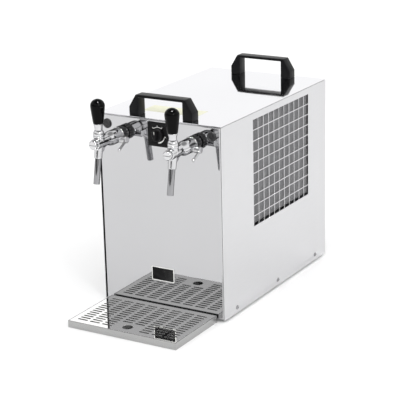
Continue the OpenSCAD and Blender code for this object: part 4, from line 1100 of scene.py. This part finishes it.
class DISPENSER_OT_front_fittings(Operator):
    """Makes the blank badge plate, the hole plugs and the blank label"""

    bl_idname = "dispenser.front_fittings"
    bl_label = "Front fittings"

    def badge(self):
        """Blank plate with a white rim round a sunk black face; the rim's white print is a painted
        reflection in place of a bright metal rim.
        """
        wide, deep, tall = spans("badge_plate")
        centre = front_middle("badge_plate")
        points = [centre + mm(x, 0, z) for x, z in round_outline(wide, tall, 1.6)]
        made = plate("badge_blank", points, Y_AXIS * deep * MM, 0.4 * MM, 2)
        # Painted reflection: white print on the rim stands in for a bright metal rim's reflection
        paint(made, "marks", "enamel")
        bpy.ops.object.mode_set(mode="EDIT")
        select_faces(made, lambda place, normal: normal.y < -0.99)
        bpy.ops.mesh.inset(thickness=BADGE_RIM * MM, depth=0)
        bpy.ops.mesh.inset(thickness=BADGE_STEP * MM, depth=-BADGE_INSET * MM)
        made.active_material_index = 1
        bpy.ops.object.material_slot_assign()
        bpy.ops.object.mode_set(mode="OBJECT")
        seat(made, "cabinet", "badge_black", None, "badge_plate")

    def plugs(self, steps):
        """Two round plugs with a raised ring, a skirt and a button in the middle."""
        low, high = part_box("hole_plugs")
        _, deep, tall = spans("hole_plugs")
        rim = tall / 2
        skirt = rim - PLUG_LIP
        inside = skirt - PLUG_WALL
        corners = [
            (0, 0.5), (1.6, 0.5), (2.2, 1.1), (rim * 0.6, 1.1), (rim * 0.68, 0), (rim * 0.8, 0),
            (rim, 1.4), (rim, 3), (skirt, 3), (skirt, deep), (inside, deep), (inside, 2.4),
            (0, 2.4),
        ]
        made = []
        for x in (low.x + rim * MM, high.x - rim * MM):
            centre = Vector((x, low.y, (low.z + high.z) / 2))
            made.append(turned("plug", softened(corners, 0.7), centre, Y_AXIS, steps))
        seat(join("panel_plugs", made), "cabinet", "plug_black", "plug", "hole_plugs")

    def label(self, thickness):
        """Blank film on the top cover."""
        x, y = LABEL_PLACE
        place = mm(x, y, 0) + Z_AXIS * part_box("top_cover")[1].z
        points = [place + mm(across, along, 0) for across, along in round_outline(*LABEL_SIZE, 2)]
        seat(plate("blank_label", points, Z_AXIS * thickness), "cabinet", "polished_steel", "label")

    def execute(self, context):
        sizes = context.scene.dispenser_sizes
        self.badge()
        self.plugs(sizes.rounds)
        self.label(sizes.print_height)
        return {"FINISHED"}


class DISPENSER_OT_drip_tray(Operator):
    """Dresses the drip tray and its slotted grate"""

    bl_idname = "dispenser.drip_tray"
    bl_label = "Drip tray"

    def execute(self, context):
        edge = context.scene.dispenser_sizes.sheet_edge
        dress(("drip_tray",), "tray", edge)
        dress(("drip_grate",), "grate", edge * 0.6, 55)
        return {"FINISHED"}


class DISPENSER_OT_insides(Operator):
    """Dresses the cooling, the carbonation and the rear connections"""

    bl_idname = "dispenser.insides"
    bl_label = "Insides and connections"

    def execute(self, context):
        for node, finish in (
            ("cooling_block", "foam"),
            ("compressor", "compressor"),
            ("compressor_mounts", "rubber"),
            ("condenser_fins", "fins"),
            ("condenser_coil", "copper"),
            ("fan_shroud", "zinc"),
            ("fan_motor", "motor"),
            ("fan_blades", "fan"),
            ("carbonator", "vessel"),
            ("water_pump", "pump"),
            ("control_box", "box"),
        ):
            dress((node,), finish)
        dress(("mains_inlet", "gas_inlet"), "inlet", INLET_EDGE * MM)
        dress(("water_inlet",), "inlet_blue", INLET_EDGE * MM)
        return {"FINISHED"}


class DISPENSER_PT_sidebar(Panel):
    """Lists the dispenser's pieces, sizes and colours"""

    bl_idname = "DISPENSER_PT_sidebar"
    bl_label = "Soda water dispenser"
    bl_space_type = "VIEW_3D"
    bl_region_type = "UI"
    bl_category = "Dispenser"

    def draw(self, context):
        column = self.layout.column()
        for piece in PIECES:
            column.operator(piece.bl_idname)
        for group in (context.scene.dispenser_sizes, context.scene.dispenser_colours):
            box = self.layout.box().column()
            for name in group.__annotations__:
                box.prop(group, name)


PIECES = (
    DISPENSER_OT_stage,
    DISPENSER_OT_casing,
    DISPENSER_OT_front_panel,
    DISPENSER_OT_bridge_grips,
    DISPENSER_OT_taps,
    DISPENSER_OT_tap_handles,
    DISPENSER_OT_dial,
    DISPENSER_OT_front_fittings,
    DISPENSER_OT_drip_tray,
    DISPENSER_OT_insides,
)
CLASSES = (DispenserSizes, DispenserColours, *PIECES, DISPENSER_PT_sidebar)


def register():
    """Adds the dispenser's classes and settings."""
    for item in CLASSES:
        bpy.utils.register_class(item)
    bpy.types.Scene.dispenser_sizes = PointerProperty(type=DispenserSizes)
    bpy.types.Scene.dispenser_colours = PointerProperty(type=DispenserColours)


def unregister():
    """Removes the dispenser's classes and settings."""
    del bpy.types.Scene.dispenser_colours
    del bpy.types.Scene.dispenser_sizes
    for item in reversed(CLASSES):
        bpy.utils.unregister_class(item)


def main():
    """Builds every piece in order."""
    register()
    make_finishes(bpy.context.scene.dispenser_colours)
    for piece in PIECES:
        group, name = piece.bl_idname.split(".")
        getattr(getattr(bpy.ops, group), name)()


if __name__ == "__main__":
    main()
